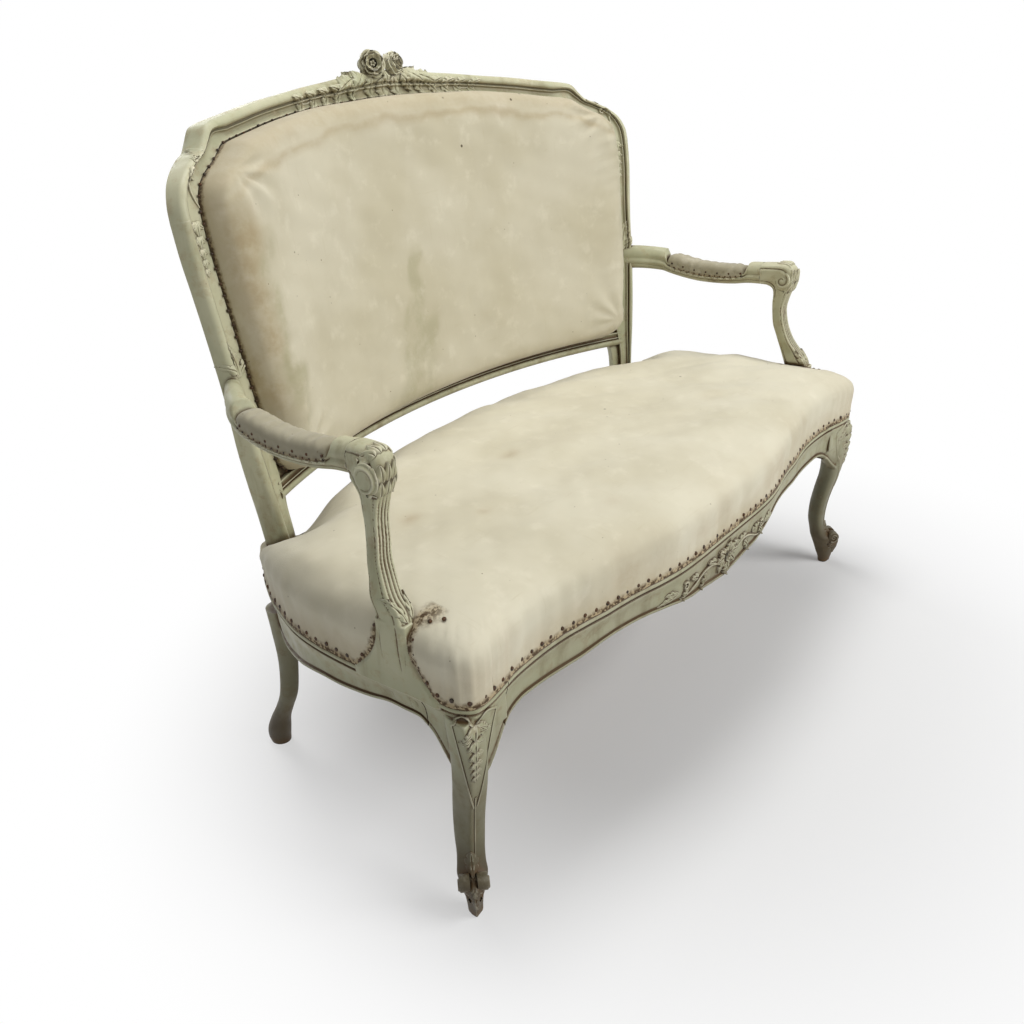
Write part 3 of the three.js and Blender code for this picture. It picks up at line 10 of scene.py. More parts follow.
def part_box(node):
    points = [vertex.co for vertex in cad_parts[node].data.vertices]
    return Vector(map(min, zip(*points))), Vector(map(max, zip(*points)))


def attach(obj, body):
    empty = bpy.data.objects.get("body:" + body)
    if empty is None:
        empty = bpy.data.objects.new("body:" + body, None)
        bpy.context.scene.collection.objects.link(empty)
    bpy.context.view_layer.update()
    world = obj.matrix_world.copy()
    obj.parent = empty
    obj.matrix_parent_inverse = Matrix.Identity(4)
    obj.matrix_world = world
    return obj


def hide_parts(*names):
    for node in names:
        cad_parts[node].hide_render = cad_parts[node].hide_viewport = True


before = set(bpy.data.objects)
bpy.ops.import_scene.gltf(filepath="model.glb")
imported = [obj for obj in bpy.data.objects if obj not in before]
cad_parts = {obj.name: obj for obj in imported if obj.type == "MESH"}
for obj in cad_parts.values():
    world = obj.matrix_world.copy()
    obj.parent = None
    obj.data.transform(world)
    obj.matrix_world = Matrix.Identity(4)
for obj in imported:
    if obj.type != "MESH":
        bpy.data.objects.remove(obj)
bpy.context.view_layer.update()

# Sizes of the frame that the pieces are dressed on
mm = 0.001
rail_bead = 2.5 * mm
groove_share = 1.7
front_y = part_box("front_rail")[0].y + rail_bead
seat_half_width = 0.616
seat_depth = 0.586
seat_height = 0.352
wood_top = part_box("rear_rail")[1].z
rail_height = 0.090
rail_thickness = 0.034
rail_tuck = 0.012
ledge = 0.007
pad_height = 0.108
tuck_reach = 0.060
tuck_share = 0.62
front_shoulder = 0.530
side_shoulder = 0.118
rear_shoulder_across = 0.440
rear_shoulder_back = 0.484
front_foot = np.array([0.605, 0.060, 0.0])
leg_reach = 0.053
leg_width = 0.048
rear_foot = np.array([0.519, 0.520, 0.0])
rear_leg_width = 0.032
rear_kick = 0.061
back_half_width = 0.530
back_height = 1.050
back_bottom = 0.464
back_set = 0.6235
back_radius = 1.240
back_end_wrap = 0.0175
back_lean_share = 0.135
frame_depth = 0.027
stile_width = 0.040
lower_rail_height = 0.046
rebate_depth = 0.007
rebate_share = 0.62
stile_joint_height = 0.888
back_pad_bulge = 0.064
arm_height = 0.652
arm_width = 0.040
arm_joint_back = 0.231
support_width = 0.033
support_foot = 0.020
volute_radius = 0.020
volute_width = 0.040
cloth = 1.5 * mm
gap = 0.3 * mm
seat_nail_spacing = 0.0225
back_nail_spacing = 0.0195
arm_nail_spacing = 0.027
strap_width = 0.050
web_cross_shares = (0.36, 0.68)
back_web_cross_shares = (0.58, 0.78)
# Degrees past which an edge between two faces is shaded sharp
plain_sharp, carved_sharp, fused_sharp, pad_sharp, soft_sharp = 38, 42, 55, 60, 65
rightward, upward = np.array([1.0, 0, 0]), np.array([0.0, 0, 1])
corner_out, corner_right = np.array([1.0, -1.0, 0]), np.array([1.0, 1.0, 0])

# Outline of half the seat: [across share, back share]
seat_outline_shares = [
    [0, 1], [0.125, 0.996], [0.25, 0.984], [0.375, 0.963], [0.5, 0.935], [0.6, 0.906],
    [0.65, 0.893], [0.706, 0.887], [0.744, 0.901], [0.763, 0.925], [0.783, 0.941],
    [0.807, 0.9454], [0.83, 0.933], [0.851, 0.911], [0.869, 0.886], [0.891, 0.848],
    [0.925, 0.783], [0.956, 0.703], [0.979, 0.632], [0.9935, 0.549],
    [1, 0.42], [0.997, 0.3], [0.993, 0.2], [0.996, 0.138], [0.992, 0.094], [0.972, 0.064],
    [0.936, 0.06], [0.886, 0.067], [0.836, 0.0768], [0.752, 0.0819], [0.66, 0.0785],
    [0.58, 0.066], [0.516, 0.0535], [0.455, 0.045], [0.394, 0.0335], [0.325, 0.0171],
    [0.25, 0.005], [0.17, 0.0005], [0.08, 0], [0, 0],
]
front_edge_shares = [
    [0, 1], [0.08, 0.933], [0.13, 0.889], [0.18, 0.867], [0.227, 0.811], [0.268, 0.75],
    [0.308, 0.711], [0.35, 0.68], [0.44, 0.667], [0.515, 0.678], [0.55, 0.711], [0.584, 0.744],
    [0.65, 0.75], [0.7, 0.733], [0.753, 0.711], [0.79, 0.7], [0.83, 0.756], [0.86, 0.88],
]
side_edge_shares = [
    [0.177, 0.777], [0.2, 0.69], [0.222, 0.6], [0.266, 0.58], [0.316, 0.565], [0.369, 0.62],
    [0.42, 0.66], [0.48, 0.7], [0.55, 0.725], [0.616, 0.8], [0.667, 0.88], [0.73, 0.96], [0.8, 1],
]
knee_edge_shares = [
    [0, 0.69], [0.05, 0.76], [0.1, 0.86], [0.18, 1.06], [0.28, 1.25], [0.47, 1.4], [0.7, 1.3],
    [0.82, 1.16], [0.92, 1], [1, 0.88],
]
front_leg_shares = [
    [0, 0.23, -0.245, 0.215, 0], [0.034, 0.29, -0.28, 0.225, 0], [0.074, 0.36, -0.38, 0.26, 0],
    [0.114, 0.44, -0.47, 0.3, 0], [0.148, 0.46, -0.55, 0.38, 0], [0.176, 0.4, -0.62, 0.44, 0],
    [0.202, 0.12, -0.68, 0.415, 0], [0.247, -0.11, -0.74, 0.405, -0.01],
    [0.318, -0.17, -0.83, 0.43, -0.02], [0.42, -0.11, -0.81, 0.45, -0.05],
    [0.523, 0.04, -0.7, 0.468, -0.1], [0.619, 0.23, -0.58, 0.48, -0.15],
    [0.716, 0.36, -0.56, 0.49, -0.18], [0.81, 0.46, -0.6, 0.495, -0.17],
    [0.88, 0.49, -0.64, 0.495, -0.14], [0.95, 0.47, -0.68, 0.48, -0.1],
]
leg_section_shares = [
    [1, 0], [0.72, 0.36], [0.38, 0.72], [0, 0.97], [-0.4, 1], [-0.78, 0.7], [-1, 0.26],
    [-1, -0.26], [-0.78, -0.7], [-0.4, -1], [0, -0.97], [0.38, -0.72], [0.72, -0.36],
]
rear_leg_shares = [
    [0, 1.02, 1.02], [0.034, 1.04, 1.16], [0.085, 0.98, 1.18], [0.162, 0.8, 1], [0.24, 0.54, 0.91],
    [0.355, 0.22, 0.94], [0.54, 0.02, 1], [0.71, 0, 1.18], [0.83, 0, 1.35],
]
stile_shares = [
    [0.362, 0.935, 0.9, 1.5], [0.385, 0.938, 0.94, 1.45], [0.43, 0.95, 1.08, 1.35],
    [0.475, 0.964, 1.5, 1.3], [0.53, 0.978, 1.6, 1.2], [0.575, 0.987, 1.56, 1.05],
    [0.62, 0.995, 1.51, 0.93], [0.667, 1, 1.46, 0.93], [0.715, 1.007, 1.47, 0.93],
    [0.76, 1.0155, 1.51, 0.93], [0.8, 1.0225, 1.54, 0.95], [0.8457, 1.025, 1.56, 0.95],
]
crest_shares = [
    [1.025, 0.8457, 0.907, 0.8457, 0.95], [1.02, 0.866, 0.901, 0.862, 0.95],
    [0.998, 0.888, 0.886, 0.8745, 1], [0.96, 0.904, 0.857, 0.8855, 1.1],
    [0.915, 0.916, 0.828, 0.8922, 1.2], [0.88, 0.923, 0.8094, 0.898, 1.25],
    [0.853, 0.936, 0.7868, 0.902, 1.3], [0.83, 0.9495, 0.7585, 0.9076, 1.3],
    [0.8, 0.955, 0.7377, 0.9095, 1.25], [0.736, 0.96, 0.7, 0.9124, 1.2],
    [0.67, 0.9645, 0.65, 0.916, 1.15], [0.604, 0.9695, 0.598, 0.92, 1.15],
    [0.54, 0.9735, 0.537, 0.9245, 1.15], [0.472, 0.977, 0.47, 0.9286, 1.15],
    [0.4, 0.981, 0.4, 0.932, 1.15], [0.328, 0.985, 0.328, 0.9335, 1.15],
    [0.22, 0.99, 0.22, 0.933, 1.15], [0.11, 0.996, 0.11, 0.933, 1.15], [0, 1, 0, 0.9324, 1.15],
]
arm_shares = [
    [0.923, 0.84, 1.026, 0.958, 0.62, 0], [0.8805, 0.866, 1.028, 0.959, 0.66, 0],
    [0.833, 0.897, 1.023, 0.955, 0.76, 0], [0.79, 0.915, 1.018, 0.95, 0.9, 0],
    [0.765, 0.92, 1.014, 0.944, 0.95, 1], [0.71, 0.9237, 1.003, 0.934, 1, 1],
    [0.6416, 0.926, 0.992, 0.926, 1, 1], [0.5734, 0.927, 0.989, 0.925, 1, 1],
    [0.505, 0.926, 0.991, 0.929, 1, 1], [0.455, 0.924, 0.996, 0.936, 1, 1],
    [0.43, 0.923, 0.999, 0.938, 1, 0], [0.394, 0.922, 1.001, 0.939, 1, 0],
]
support_shares = [
    [0.2235, 0.482, 0.309, 0.482, -0.006, 0.42], [0.2235, 0.54, 0.309, 0.54, 0.003, 0.62],
    [0.2245, 0.6135, 0.31, 0.6135, 0.006, 0.8], [0.227, 0.66, 0.3085, 0.653, 0.003, 0.9],
    [0.2398, 0.695, 0.3106, 0.6794, -0.005, 1], [0.2628, 0.721, 0.326, 0.7178, -0.006, 0.97],
    [0.2867, 0.753, 0.334, 0.7485, -0.016, 0.93], [0.3027, 0.787, 0.343, 0.779, -0.024, 0.89],
    [0.3106, 0.8236, 0.3515, 0.8113, -0.034, 0.86], [0.314, 0.8635, 0.355, 0.851, -0.039, 0.86],
    [0.3058, 0.897, 0.3567, 0.88, -0.039, 0.9], [0.2935, 0.931, 0.3555, 0.908, -0.038, 1],
    [0.287, 0.957, 0.361, 0.925, -0.037, 1.1], [0.2855, 0.985, 0.376, 0.934, -0.041, 1.15],
    [0.305, 1.002, 0.3865, 0.937, -0.047, 1.18], [0.348, 1.0035, 0.391, 0.9387, -0.054, 1.2],
    [0.394, 1.001, 0.394, 0.939, -0.058, 1.21],
]
seat_pad_shares = [
    [0, 0, 0.34], [0, 0.2, 0.1], [0, 0.42, 0.35], [0, 0.56, 0.35], [0.016, 0.69, 0.2],
    [0.06, 0.8, 0], [0.15, 0.895, 0], [0.35, 0.97, 0], [0.82, 1, 0],
]
seat_middle_share = 0.53
back_pad_shares = [
    [0, 0], [-0.01, 0.24], [-0.006, 0.5], [0.014, 0.72], [0.07, 0.88], [0.2, 0.97], [0.5, 1],
    [0.8, 1.02],
]
back_middle_share = 0.47
back_middle_height_share = 0.71
cloth_lap_share = 0.04


# Curves and meshes
def read(table, at, column=1):
    """A column of a table at one or more places, read smoothly between its rows."""
    rows = np.array(table, float)
    x, y = rows[:, 0], rows[:, column]
    after = np.minimum(np.arange(len(x)) + 1, len(x) - 1)
    before = np.maximum(np.arange(len(x)) - 1, 0)
    slope = (y[after] - y[before]) / (x[after] - x[before])
    at = np.clip(np.asarray(at, float), x[0], x[-1])
    k = np.clip(np.searchsorted(x, at) - 1, 0, len(x) - 2)
    span = x[k + 1] - x[k]
    t = (at - x[k]) / span
    s = 1 - t
    return (s * s * (1 + 2 * t) * y[k] + t * t * (3 - 2 * t) * y[k + 1]
            + s * s * t * span * slope[k] - s * t * t * span * slope[k + 1])


def along_rows(table, steps):
    """Every column of a table with the given number of smooth steps between its rows."""
    rows = [[i, *row] for i, row in enumerate(table)]
    at = np.linspace(0, len(table) - 1, (len(table) - 1) * steps + 1)
    return np.stack([read(rows, at, c + 1) for c in range(len(table[0]))], 1)


def unit(v):
    return v / np.maximum(np.linalg.norm(v, axis=-1, keepdims=True), 1e-12)


def closed_curve(points, steps):
    """A closed centripetal spline through the points, as a dense line."""
    p = np.array(points, float)
    n = len(p)
    s = np.linspace(0, 1, steps, endpoint=False)[:, None]
    out = []
    for i in range(n):
        a, b, c, d = p[i - 1], p[i], p[(i + 1) % n], p[(i + 2) % n]
        ab, bc, cd = [math.sqrt(np.linalg.norm(q - r)) for q, r in ((a, b), (b, c), (c, d))]
        t1 = ((b - a) / ab - (c - a) / (ab + bc) + (c - b) / bc) * bc
        t2 = ((c - b) / bc - (d - b) / (bc + cd) + (d - c) / cd) * bc
        out.append(b + t1 * s + (3 * c - 3 * b - 2 * t1 - t2) * s**2 + (2 * b - 2 * c + t1 + t2) * s**3)
    return np.concatenate(out)


def resample(line, count):
    """An open line with evenly spaced points."""
    run = np.concatenate([[0], np.cumsum(np.linalg.norm(np.diff(line, axis=0), axis=1))])
    at = np.linspace(0, run[-1], count)
    return np.stack([np.interp(at, run, line[:, c]) for c in range(line.shape[1])], 1)


def loft(rings, caps=True):
    """Points and faces of a skin through rings of points, an array of rows by columns by 3."""
    rings = np.asarray(rings, float)
    rows, columns = rings.shape[:2]
    r, c = np.meshgrid(np.arange(rows - 1), np.arange(columns), indexing="ij")
    k = (c + 1) % columns
    quads = np.stack([r * columns + c, r * columns + k, (r + 1) * columns + k, (r + 1) * columns + c], -1)
    faces = quads.reshape(-1, 4).tolist()
    if caps:
        faces.append(list(range(columns))[::-1])
        faces.append(list(range((rows - 1) * columns, rows * columns)))
    return rings.reshape(-1, 3), faces


def merge(parts):
    """Several (points, faces) bodies as one."""
    points, faces, base = [], [], 0
    for p, f in parts:
        points.append(np.asarray(p, float))
        faces += [[i + base for i in face] for face in f]
        base += len(p)
    return np.concatenate(points), faces


def mirrored(body):
    points, faces = body
    return np.asarray(points) * [-1, 1, 1], [face[::-1] for face in faces]


def outward(body):
    """The same body with its faces pointing out."""
    points, faces = body
    points = np.asarray(points)
    volume = 0.0
    for face in faces:
        a = points[face[0]]
        for i in range(1, len(face) - 1):
            volume += np.dot(a, np.cross(points[face[i]], points[face[i + 1]]))
    return (points, faces) if volume > 0 else (points, [face[::-1] for face in faces])


def waves(points, length, seed, count=7):
    """A smooth uneven value from about -1 to 1 at each point; length is the size of a swell."""
    rng = np.random.default_rng(seed)
    total = np.zeros(len(points))
    for _ in range(count):
        way = unit(rng.normal(size=points.shape[1])) * math.tau / length * rng.uniform(0.6, 1.7)
        total += np.sin(points @ way + rng.uniform(0, math.tau))
    return total / math.sqrt(count)


# Pieces
def new_object(name, body):
    points, faces = body
    mesh = bpy.data.meshes.new(name)
    mesh.from_pydata(np.asarray(points).tolist(), [], faces)
    made = bpy.data.objects.new(name, mesh)
    bpy.context.scene.collection.objects.link(made)
    return made


def make(name, body, finish, nodes=(), sharp=plain_sharp):
    """One piece of the sofa, given in its seat's own place: smooth-shaded, riding on the frame."""
    piece = new_object(name, (np.asarray(body[0]) + [0, front_y, 0], body[1]))
    mesh = piece.data
    mesh.validate()
    mesh.materials.append(finish)
    mesh.shade_smooth()
    mesh.set_sharp_from_angle(angle=math.radians(sharp))
    store_edges(mesh)
    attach(piece, "root")
    if nodes:
        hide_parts(*nodes)
    return piece


def make_pair(name, body, finish, nodes, sharp=plain_sharp):
    """The right-hand piece and its mirrored left-hand fellow."""
    return [make(f"{name}_{side}", half, finish, [f"{n}_{side}" for n in nodes], sharp)
            for side, half in (("right", body), ("left", mirrored(body)))]


sharpest_bend = 250


def store_edges(mesh):
    """Attribute "edge": above 0 on ridges and below 0 in grooves, for wear and grime."""
    points, normals = mesh_values(mesh, "co"), mesh_values(mesh, "normal")
    count = len(points)
    ends = np.zeros(len(mesh.edges) * 2, int)
    mesh.edges.foreach_get("vertices", ends)
    a, b = ends.reshape(-1, 2).T
    way = points[b] - points[a]
    size = np.maximum(np.linalg.norm(way, axis=1), 1e-6)
    total, hits = np.zeros(count), np.zeros(count)
    np.add.at(total, a, -(normals[a] * way).sum(1) / size**2)
    np.add.at(total, b, (normals[b] * way).sum(1) / size**2)
    np.add.at(hits, a, 1)
    np.add.at(hits, b, 1)
    bend = total / np.maximum(hits, 1)
    for _ in range(2):
        spread_out = np.zeros(count)
        np.add.at(spread_out, a, bend[b])
        np.add.at(spread_out, b, bend[a])
        bend = 0.5 * bend + 0.5 * spread_out / np.maximum(hits, 1)
    store(mesh, "edge", np.clip(bend / sharpest_bend, -1, 1))


def store(mesh, name, values):
    attribute = mesh.attributes.get(name) or mesh.attributes.new(name, "FLOAT", "POINT")
    attribute.data.foreach_set("value", np.asarray(values, np.float32))


def store_blank(mesh, *names):
    for name in names:
        store(mesh, name, np.zeros(len(mesh.vertices)))


def mesh_values(mesh, kind):
    values = np.zeros(len(mesh.vertices) * 3)
    mesh.vertices.foreach_get(kind, values)
    return values.reshape(-1, 3)


def seat_points(mesh):
    """A mesh's points in the seat's own place."""
    return mesh_values(mesh, "co") - [0, front_y, 0]


def shaped_body(holder):
    """A helper object's body under its modifiers. The helper is removed."""
    shaped_holder = holder.evaluated_get(bpy.context.evaluated_depsgraph_get())
    shaped = shaped_holder.to_mesh()
    body = mesh_values(shaped, "co"), [list(face.vertices) for face in shaped.polygons]
    shaped_holder.to_mesh_clear()
    mesh = holder.data
    bpy.data.objects.remove(holder)
    bpy.data.meshes.remove(mesh)
    return body


def fuse(body, voxel, smooth):
    """Overlapping closed bodies as one carved surface."""
    holder = new_object("fusing", body)
    remesh = holder.modifiers.new("Remesh", "REMESH")
    remesh.mode = "VOXEL"
    remesh.voxel_size = voxel
    remesh.adaptivity = 0
    soften = holder.modifiers.new("Smooth", "SMOOTH")
    soften.factor = 0.5
    soften.iterations = smooth
    return shaped_body(holder)


# The seat's outline as one closed line, from the middle of the back round by the right
def outline_line():
    half = np.array(seat_outline_shares) * [seat_half_width, seat_depth]
    line = closed_curve(np.concatenate([half, half[-2:0:-1] * [-1, 1]]), 30)
    return np.concatenate([line, line[:1]])


outline = outline_line()
outline_steps = np.linalg.norm(np.diff(outline, axis=0), axis=1)
outline_length = outline_steps.sum()
outline_run = np.concatenate([[0], np.cumsum(outline_steps)]) / outline_length
front_half = (outline_run >= 0.25) & (outline_run <= 0.5)
corner_place = outline_run[front_half][np.argmax((outline[:, 0] - outline[:, 1])[front_half])]


def seat_place(u):
    """Point on the outline, the way along it and the way out of the seat, as plan vectors."""
    nudge = 0.0007

    def at(v):
        v = np.asarray(v, float) % 1
        return np.stack([np.interp(v, outline_run, outline[:, c]) for c in (0, 1)], -1)

    along = unit(at(np.asarray(u) + nudge) - at(np.asarray(u) - nudge))
    return at(u), along, np.stack([-along[..., 1], along[..., 0]], -1)


def find_place(axis, value, first, last):
    near = (outline_run >= first) & (outline_run <= last)
    at, u = outline[near, axis], outline_run[near]
    order = np.argsort(at)
    return np.interp(value, at[order], u[order])


def place_across(x):
    return find_place(0, x, corner_place, 0.5)


def place_rear(x):
    return find_place(0, x, 0, corner_place / 2)


def place_side(y):
    return find_place(1, y, float(place_rear(back_half_width)), corner_place)


def band(places, sections, planes=(None, None)):
    """A moulding along the outline: each section is a row of [outwards, height]."""
    point, along, out = seat_place(places)
    sections = np.asarray(sections, float)
    plan = point[:, None] + out[:, None] * sections[..., :1]
    for row, plane in zip((0, -1), planes):
        if plane:
            axis, at = plane
            shift = (at - plan[row, :, axis]) / along[row, axis]
            plan[row] += along[row] * shift[:, None]
    return outward(loft(np.concatenate([plan, sections[..., 1:]], -1)))


# Moulded face of a show rail, from its upper edge down:
# [beads out, tucks in, millimetres down, share of the drop down].
rail_face = [
    [-0.1, 0, 0, 0], [0.25, 0, 0.7, 0], [0.75, 0, 2, 0], [1, 0, 4, 0], [0.95, 0, 6, 0],
    [0.6, 0, 7.6, 0], [-0.2, 0, 8.6, 0], [-0.75, 0, 9.6, 0], [-0.75, 0, 11, 0], [-0.2, 0, 12, 0],
    [0.1, 0, 13.4, 0], [0.05, -0.02, 15.5, 0], [-0.25, -0.08, 19, 0.02], [-0.35, -0.22, 15, 0.16],
    [-0.3, -0.4, 10, 0.33], [-0.15, -0.55, 6, 0.5], [0, -0.64, 3, 0.64], [0.05, -0.68, 0, 0.78],
    [-0.1, -0.7, -1, 0.84], [-0.5, -0.7, -4.5, 0.94], [-0.45, -0.7, -4.9, 0.96],
    [0.25, -0.7, -5, 0.98], [0.5, -0.72, -4, 0.99], [0.5, -0.76, -2.5, 1], [0.2, -0.84, -0.8, 1],
    [-0.1, -1, 0, 1],
]


def rail_section(low, thickness):
    """Section of a show rail for each height of its lower edge."""
    face = np.array(rail_face)
    low = np.asarray(low, float)[:, None]
    drop = seat_height - low
    moulding = np.where(face[:, 0] < 0, groove_share, 1) * face[:, 0]
    out = np.broadcast_to(moulding * rail_bead + face[:, 1] * rail_tuck, (len(low), len(face)))
    height = seat_height - face[:, 2] * mm - face[:, 3] * drop
    show = np.stack([out, height], -1)
    back = [[-thickness, 0, 1], [-thickness, 1, 0], [-ledge, 1, 0]]
    rest = np.array([[[o, l * float(z) + t * wood_top] for o, t, l in back] for z in low[:, 0]])
    return np.concatenate([show, rest], 1)


def front_low(u):
    across = np.abs(seat_place(u)[0][:, 0]) / seat_half_width
    return seat_height - rail_height * read(front_edge_shares, across)


def side_low(u):
    return seat_height - rail_height * read(side_edge_shares, seat_place(u)[0][:, 1] / seat_depth)


def front_rail_body():
    start = float(place_across(front_shoulder))
    places = np.linspace(start, 1 - start, 280)
    return band(places, rail_section(front_low(places), rail_thickness),
                ((0, front_shoulder - gap), (0, gap - front_shoulder)))


def side_rail_body():
    places = np.linspace(float(place_side(rear_shoulder_back)), float(place_side(side_shoulder)), 100)
    return band(places, rail_section(side_low(places), rail_thickness),
                ((1, rear_shoulder_back - gap), (1, side_shoulder + gap)))


def knee_body():
    places = np.linspace(float(place_side(side_shoulder)), float(place_across(front_shoulder)), 60)
    share = (places - places[0]) / (places[-1] - places[0])
    low = seat_height - rail_height * read(knee_edge_shares, share)
    return band(places, rail_section(low, 0.026), ((1, side_shoulder), (0, front_shoulder)))


def rear_corner_body():
    places = np.linspace(float(place_rear(rear_shoulder_across)), float(place_side(rear_shoulder_back)), 70)
    low = np.full(len(places), seat_height - rail_height)
    return band(places, rail_section(low, rail_thickness),
                ((0, rear_shoulder_across), (1, rear_shoulder_back)))


def box_body(low, high):
    corners = [[[x, y, z] for x, y in ((low[0], low[1]), (high[0], low[1]), (high[0], high[1]),
                                       (low[0], high[1]))] for z in (low[2], high[2])]
    return outward(loft(corners))


# Legs
def front_leg_body():
    diagonal, across = unit(corner_out), unit(corner_right)
    rows = along_rows(front_leg_shares, 6)
    section = closed_curve(leg_section_shares, 5)
    height, outer, inner, half, aside = rows.T[:, :, None]
    middle, reach = (outer + inner) / 2 * leg_reach, (outer - inner) / 2 * leg_reach
    towards = middle + reach * section[:, 0]
    sideways = (half * section[:, 1] + aside) * leg_width
    points = front_foot + towards[..., None] * diagonal + sideways[..., None] * across
    points[..., 2] = np.broadcast_to(height * seat_height, towards.shape)
    return outward(loft(points))


def rear_leg_body():
    rows = along_rows(rear_leg_shares, 8)
    angle = np.linspace(0, math.tau, 40, endpoint=False)
    height, kick, half = rows.T[:, :, None]
    radius = half * rear_leg_width / 2
    x = rear_foot[0] + radius * np.cos(angle)
    y = rear_foot[1] + kick * rear_kick + radius * np.sin(angle) * (1 + kick * 0.1)
    z = np.broadcast_to(height * seat_height, x.shape)
    return outward(loft(np.stack([x, y, z], -1)))


# Back frame
def back_point(x, z, behind=0.0):
    """Front face of the back, or a place behind it: leaning, hollow and curled at its ends."""
    x, z, behind = np.broadcast_arrays(np.asarray(x, float), np.asarray(z, float), behind)
    end = x / back_half_width
    y = back_set + back_lean_share * (z - back_bottom) - x * x / (2 * back_radius) - back_end_wrap * end**4
    slope = x / back_radius + 4 * back_end_wrap * end**3 / back_half_width
    normal = unit(np.stack([slope, np.ones_like(slope), np.full_like(slope, -back_lean_share)], -1))
    return np.stack([x, y, z], -1) + normal * behind[..., None]


# Moulded face of a back frame member from its outer edge to the cloth:
# [share across on a stile, share across on the crest, millimetres forward].
frame_face = [
    [0, 0, -3], [0.004, 0.004, -1.4], [0.02, 0.03, 0.2], [0.05, 0.075, 1.4], [0.085, 0.14, 2.3],
    [0.12, 0.21, 2.4], [0.145, 0.26, 1.5], [0.155, 0.285, 0.2], [0.165, 0.3, -0.7],
    [0.18, 0.315, -0.8], [0.19, 0.33, 0.1], [0.205, 0.35, 0.9], [0.22, 0.37, 0.6],
    [0.232, 0.385, -0.4], [0.25, 0.4, -1.1], [0.3, 0.43, -1.4], [0.38, 0.47, -1.1],
    [0.46, 0.51, -0.4], [0.53, 0.54, 0.3], [0.56, 0.56, 0.9], [0.585, 0.58, 1.3],
    [0.61, 0.605, 0.9], [rebate_share, rebate_share, -0.4],
    [rebate_share + 0.005, rebate_share + 0.005, -7], [1, 1, -7],
]


def frame_rings(outer, inner, depth, rise, on_crest):
    """Rings of a back frame member between its outer and inner edge points."""
    face = np.array(frame_face)
    weight = np.asarray(on_crest, float)[:, None]
    share = face[:, 0] * (1 - weight) + face[:, 1] * weight
    behind = np.broadcast_to(-face[:, 2] * mm, share.shape) * np.asarray(rise, float)[:, None]
    behind = np.where(face[:, 2] == -7, rebate_depth, behind)
    tail = np.array([[1, 0.45], [0.97, 0.94], [0.9, 1], [rebate_share, 1], [0.3, 1], [0.08, 0.97],
                     [0.01, 0.86], [0, 0.6]])
    depth = np.asarray(depth, float)[:, None]
    inner_depth = np.minimum(depth, frame_depth)
    deep = np.where(tail[:, 0] >= rebate_share, inner_depth, depth) * tail[:, 1]
    share = np.concatenate([share, np.broadcast_to(tail[:, 0], deep.shape)], 1)
    behind = np.concatenate([behind, deep], 1)
    outer, inner = np.asarray(outer)[:, None], np.asarray(inner)[:, None]
    flat = outer + (inner - outer) * share[..., None]
    return back_point(flat[..., 0], flat[..., 1], behind)


def stile_edges(z):
    height = np.asarray(z) / back_height
    outer = read(stile_shares, height) * back_half_width
    inner = outer - read(stile_shares, height, 2) * stile_width
    return np.stack([outer, z], -1), np.stack([inner, z], -1)


def stile_body():
    z = np.linspace(stile_shares[0][0] * back_height, stile_joint_height, 130)
    outer, inner = stile_edges(z)
    depth = read(stile_shares, z / back_height, 3) * frame_depth
    return outward(loft(frame_rings(outer, inner, depth, np.full(len(z), 1.7), np.zeros(len(z)))))


def crest_rows(steps):
    """Outer and inner edge and depth of the crest from its right joint to its left joint."""
    rows = along_rows(crest_shares, steps)
    rows = np.concatenate([rows, rows[-2::-1] * [-1, 1, -1, 1, 1]])
    scale = np.array([back_half_width, back_height])
    return rows[:, 0:2] * scale, rows[:, 2:4] * scale, rows[:, 4] * frame_depth


def crest_body():
    outer, inner, depth = crest_rows(9)
    across = np.abs(outer[:, 0]) / back_half_width
    on_crest = np.clip((0.86 - across) / 0.1, 0, 1)
    return outward(loft(frame_rings(outer, inner, depth, 1.7 + on_crest * 0.3, on_crest)))


def lower_rail_body():
    middle = back_bottom + lower_rail_height / 2
    outer_edge, inner_edge = stile_edges(np.array([middle]))
    reach = (outer_edge[0, 0] + inner_edge[0, 0]) / 2
    x = np.linspace(-reach, reach, 160)
    outer = np.stack([x, np.full(len(x), back_bottom)], -1)
    inner = outer + [0, lower_rail_height]
    return outward(loft(frame_rings(outer, inner, np.full(len(x), frame_depth), np.full(len(x), 1.5),
                                    np.ones(len(x)))))


# Arms
arm_table = np.array(arm_shares)[::-1]
arm_front, arm_rear = arm_table[0, 0], arm_table[-1, 0]
padded_rows = arm_table[arm_table[:, 5] > 0, 0]
pad_front, pad_rear = padded_rows[0], padded_rows[-1]
pad_seat_share = 0.52

# Section of an arm, right half: [across, up, up once the padded stretch is cut to its seat]
arm_face = [
    [0, -0.03, -0.03], [0.16, -0.02, -0.02], [0.28, 0.01, 0.01], [0.36, 0.06, 0.06],
    [0.41, 0.12, 0.11], [0.43, 0.17, 0.16], [0.425, 0.2, 0.18], [0.45, 0.23, 0.2],
    [0.49, 0.28, 0.24], [0.505, 0.34, 0.29], [0.495, 0.4, 0.34], [0.46, 0.45, 0.37],
    [0.45, 0.5, 0.39], [0.47, 0.56, 0.41], [0.485, 0.64, 0.45], [0.47, 0.74, 0.49],
    [0.38, 0.9, pad_seat_share], [0.24, 1, pad_seat_share], [0.12, 1.03, pad_seat_share],
    [0, 1.04, pad_seat_share],
]


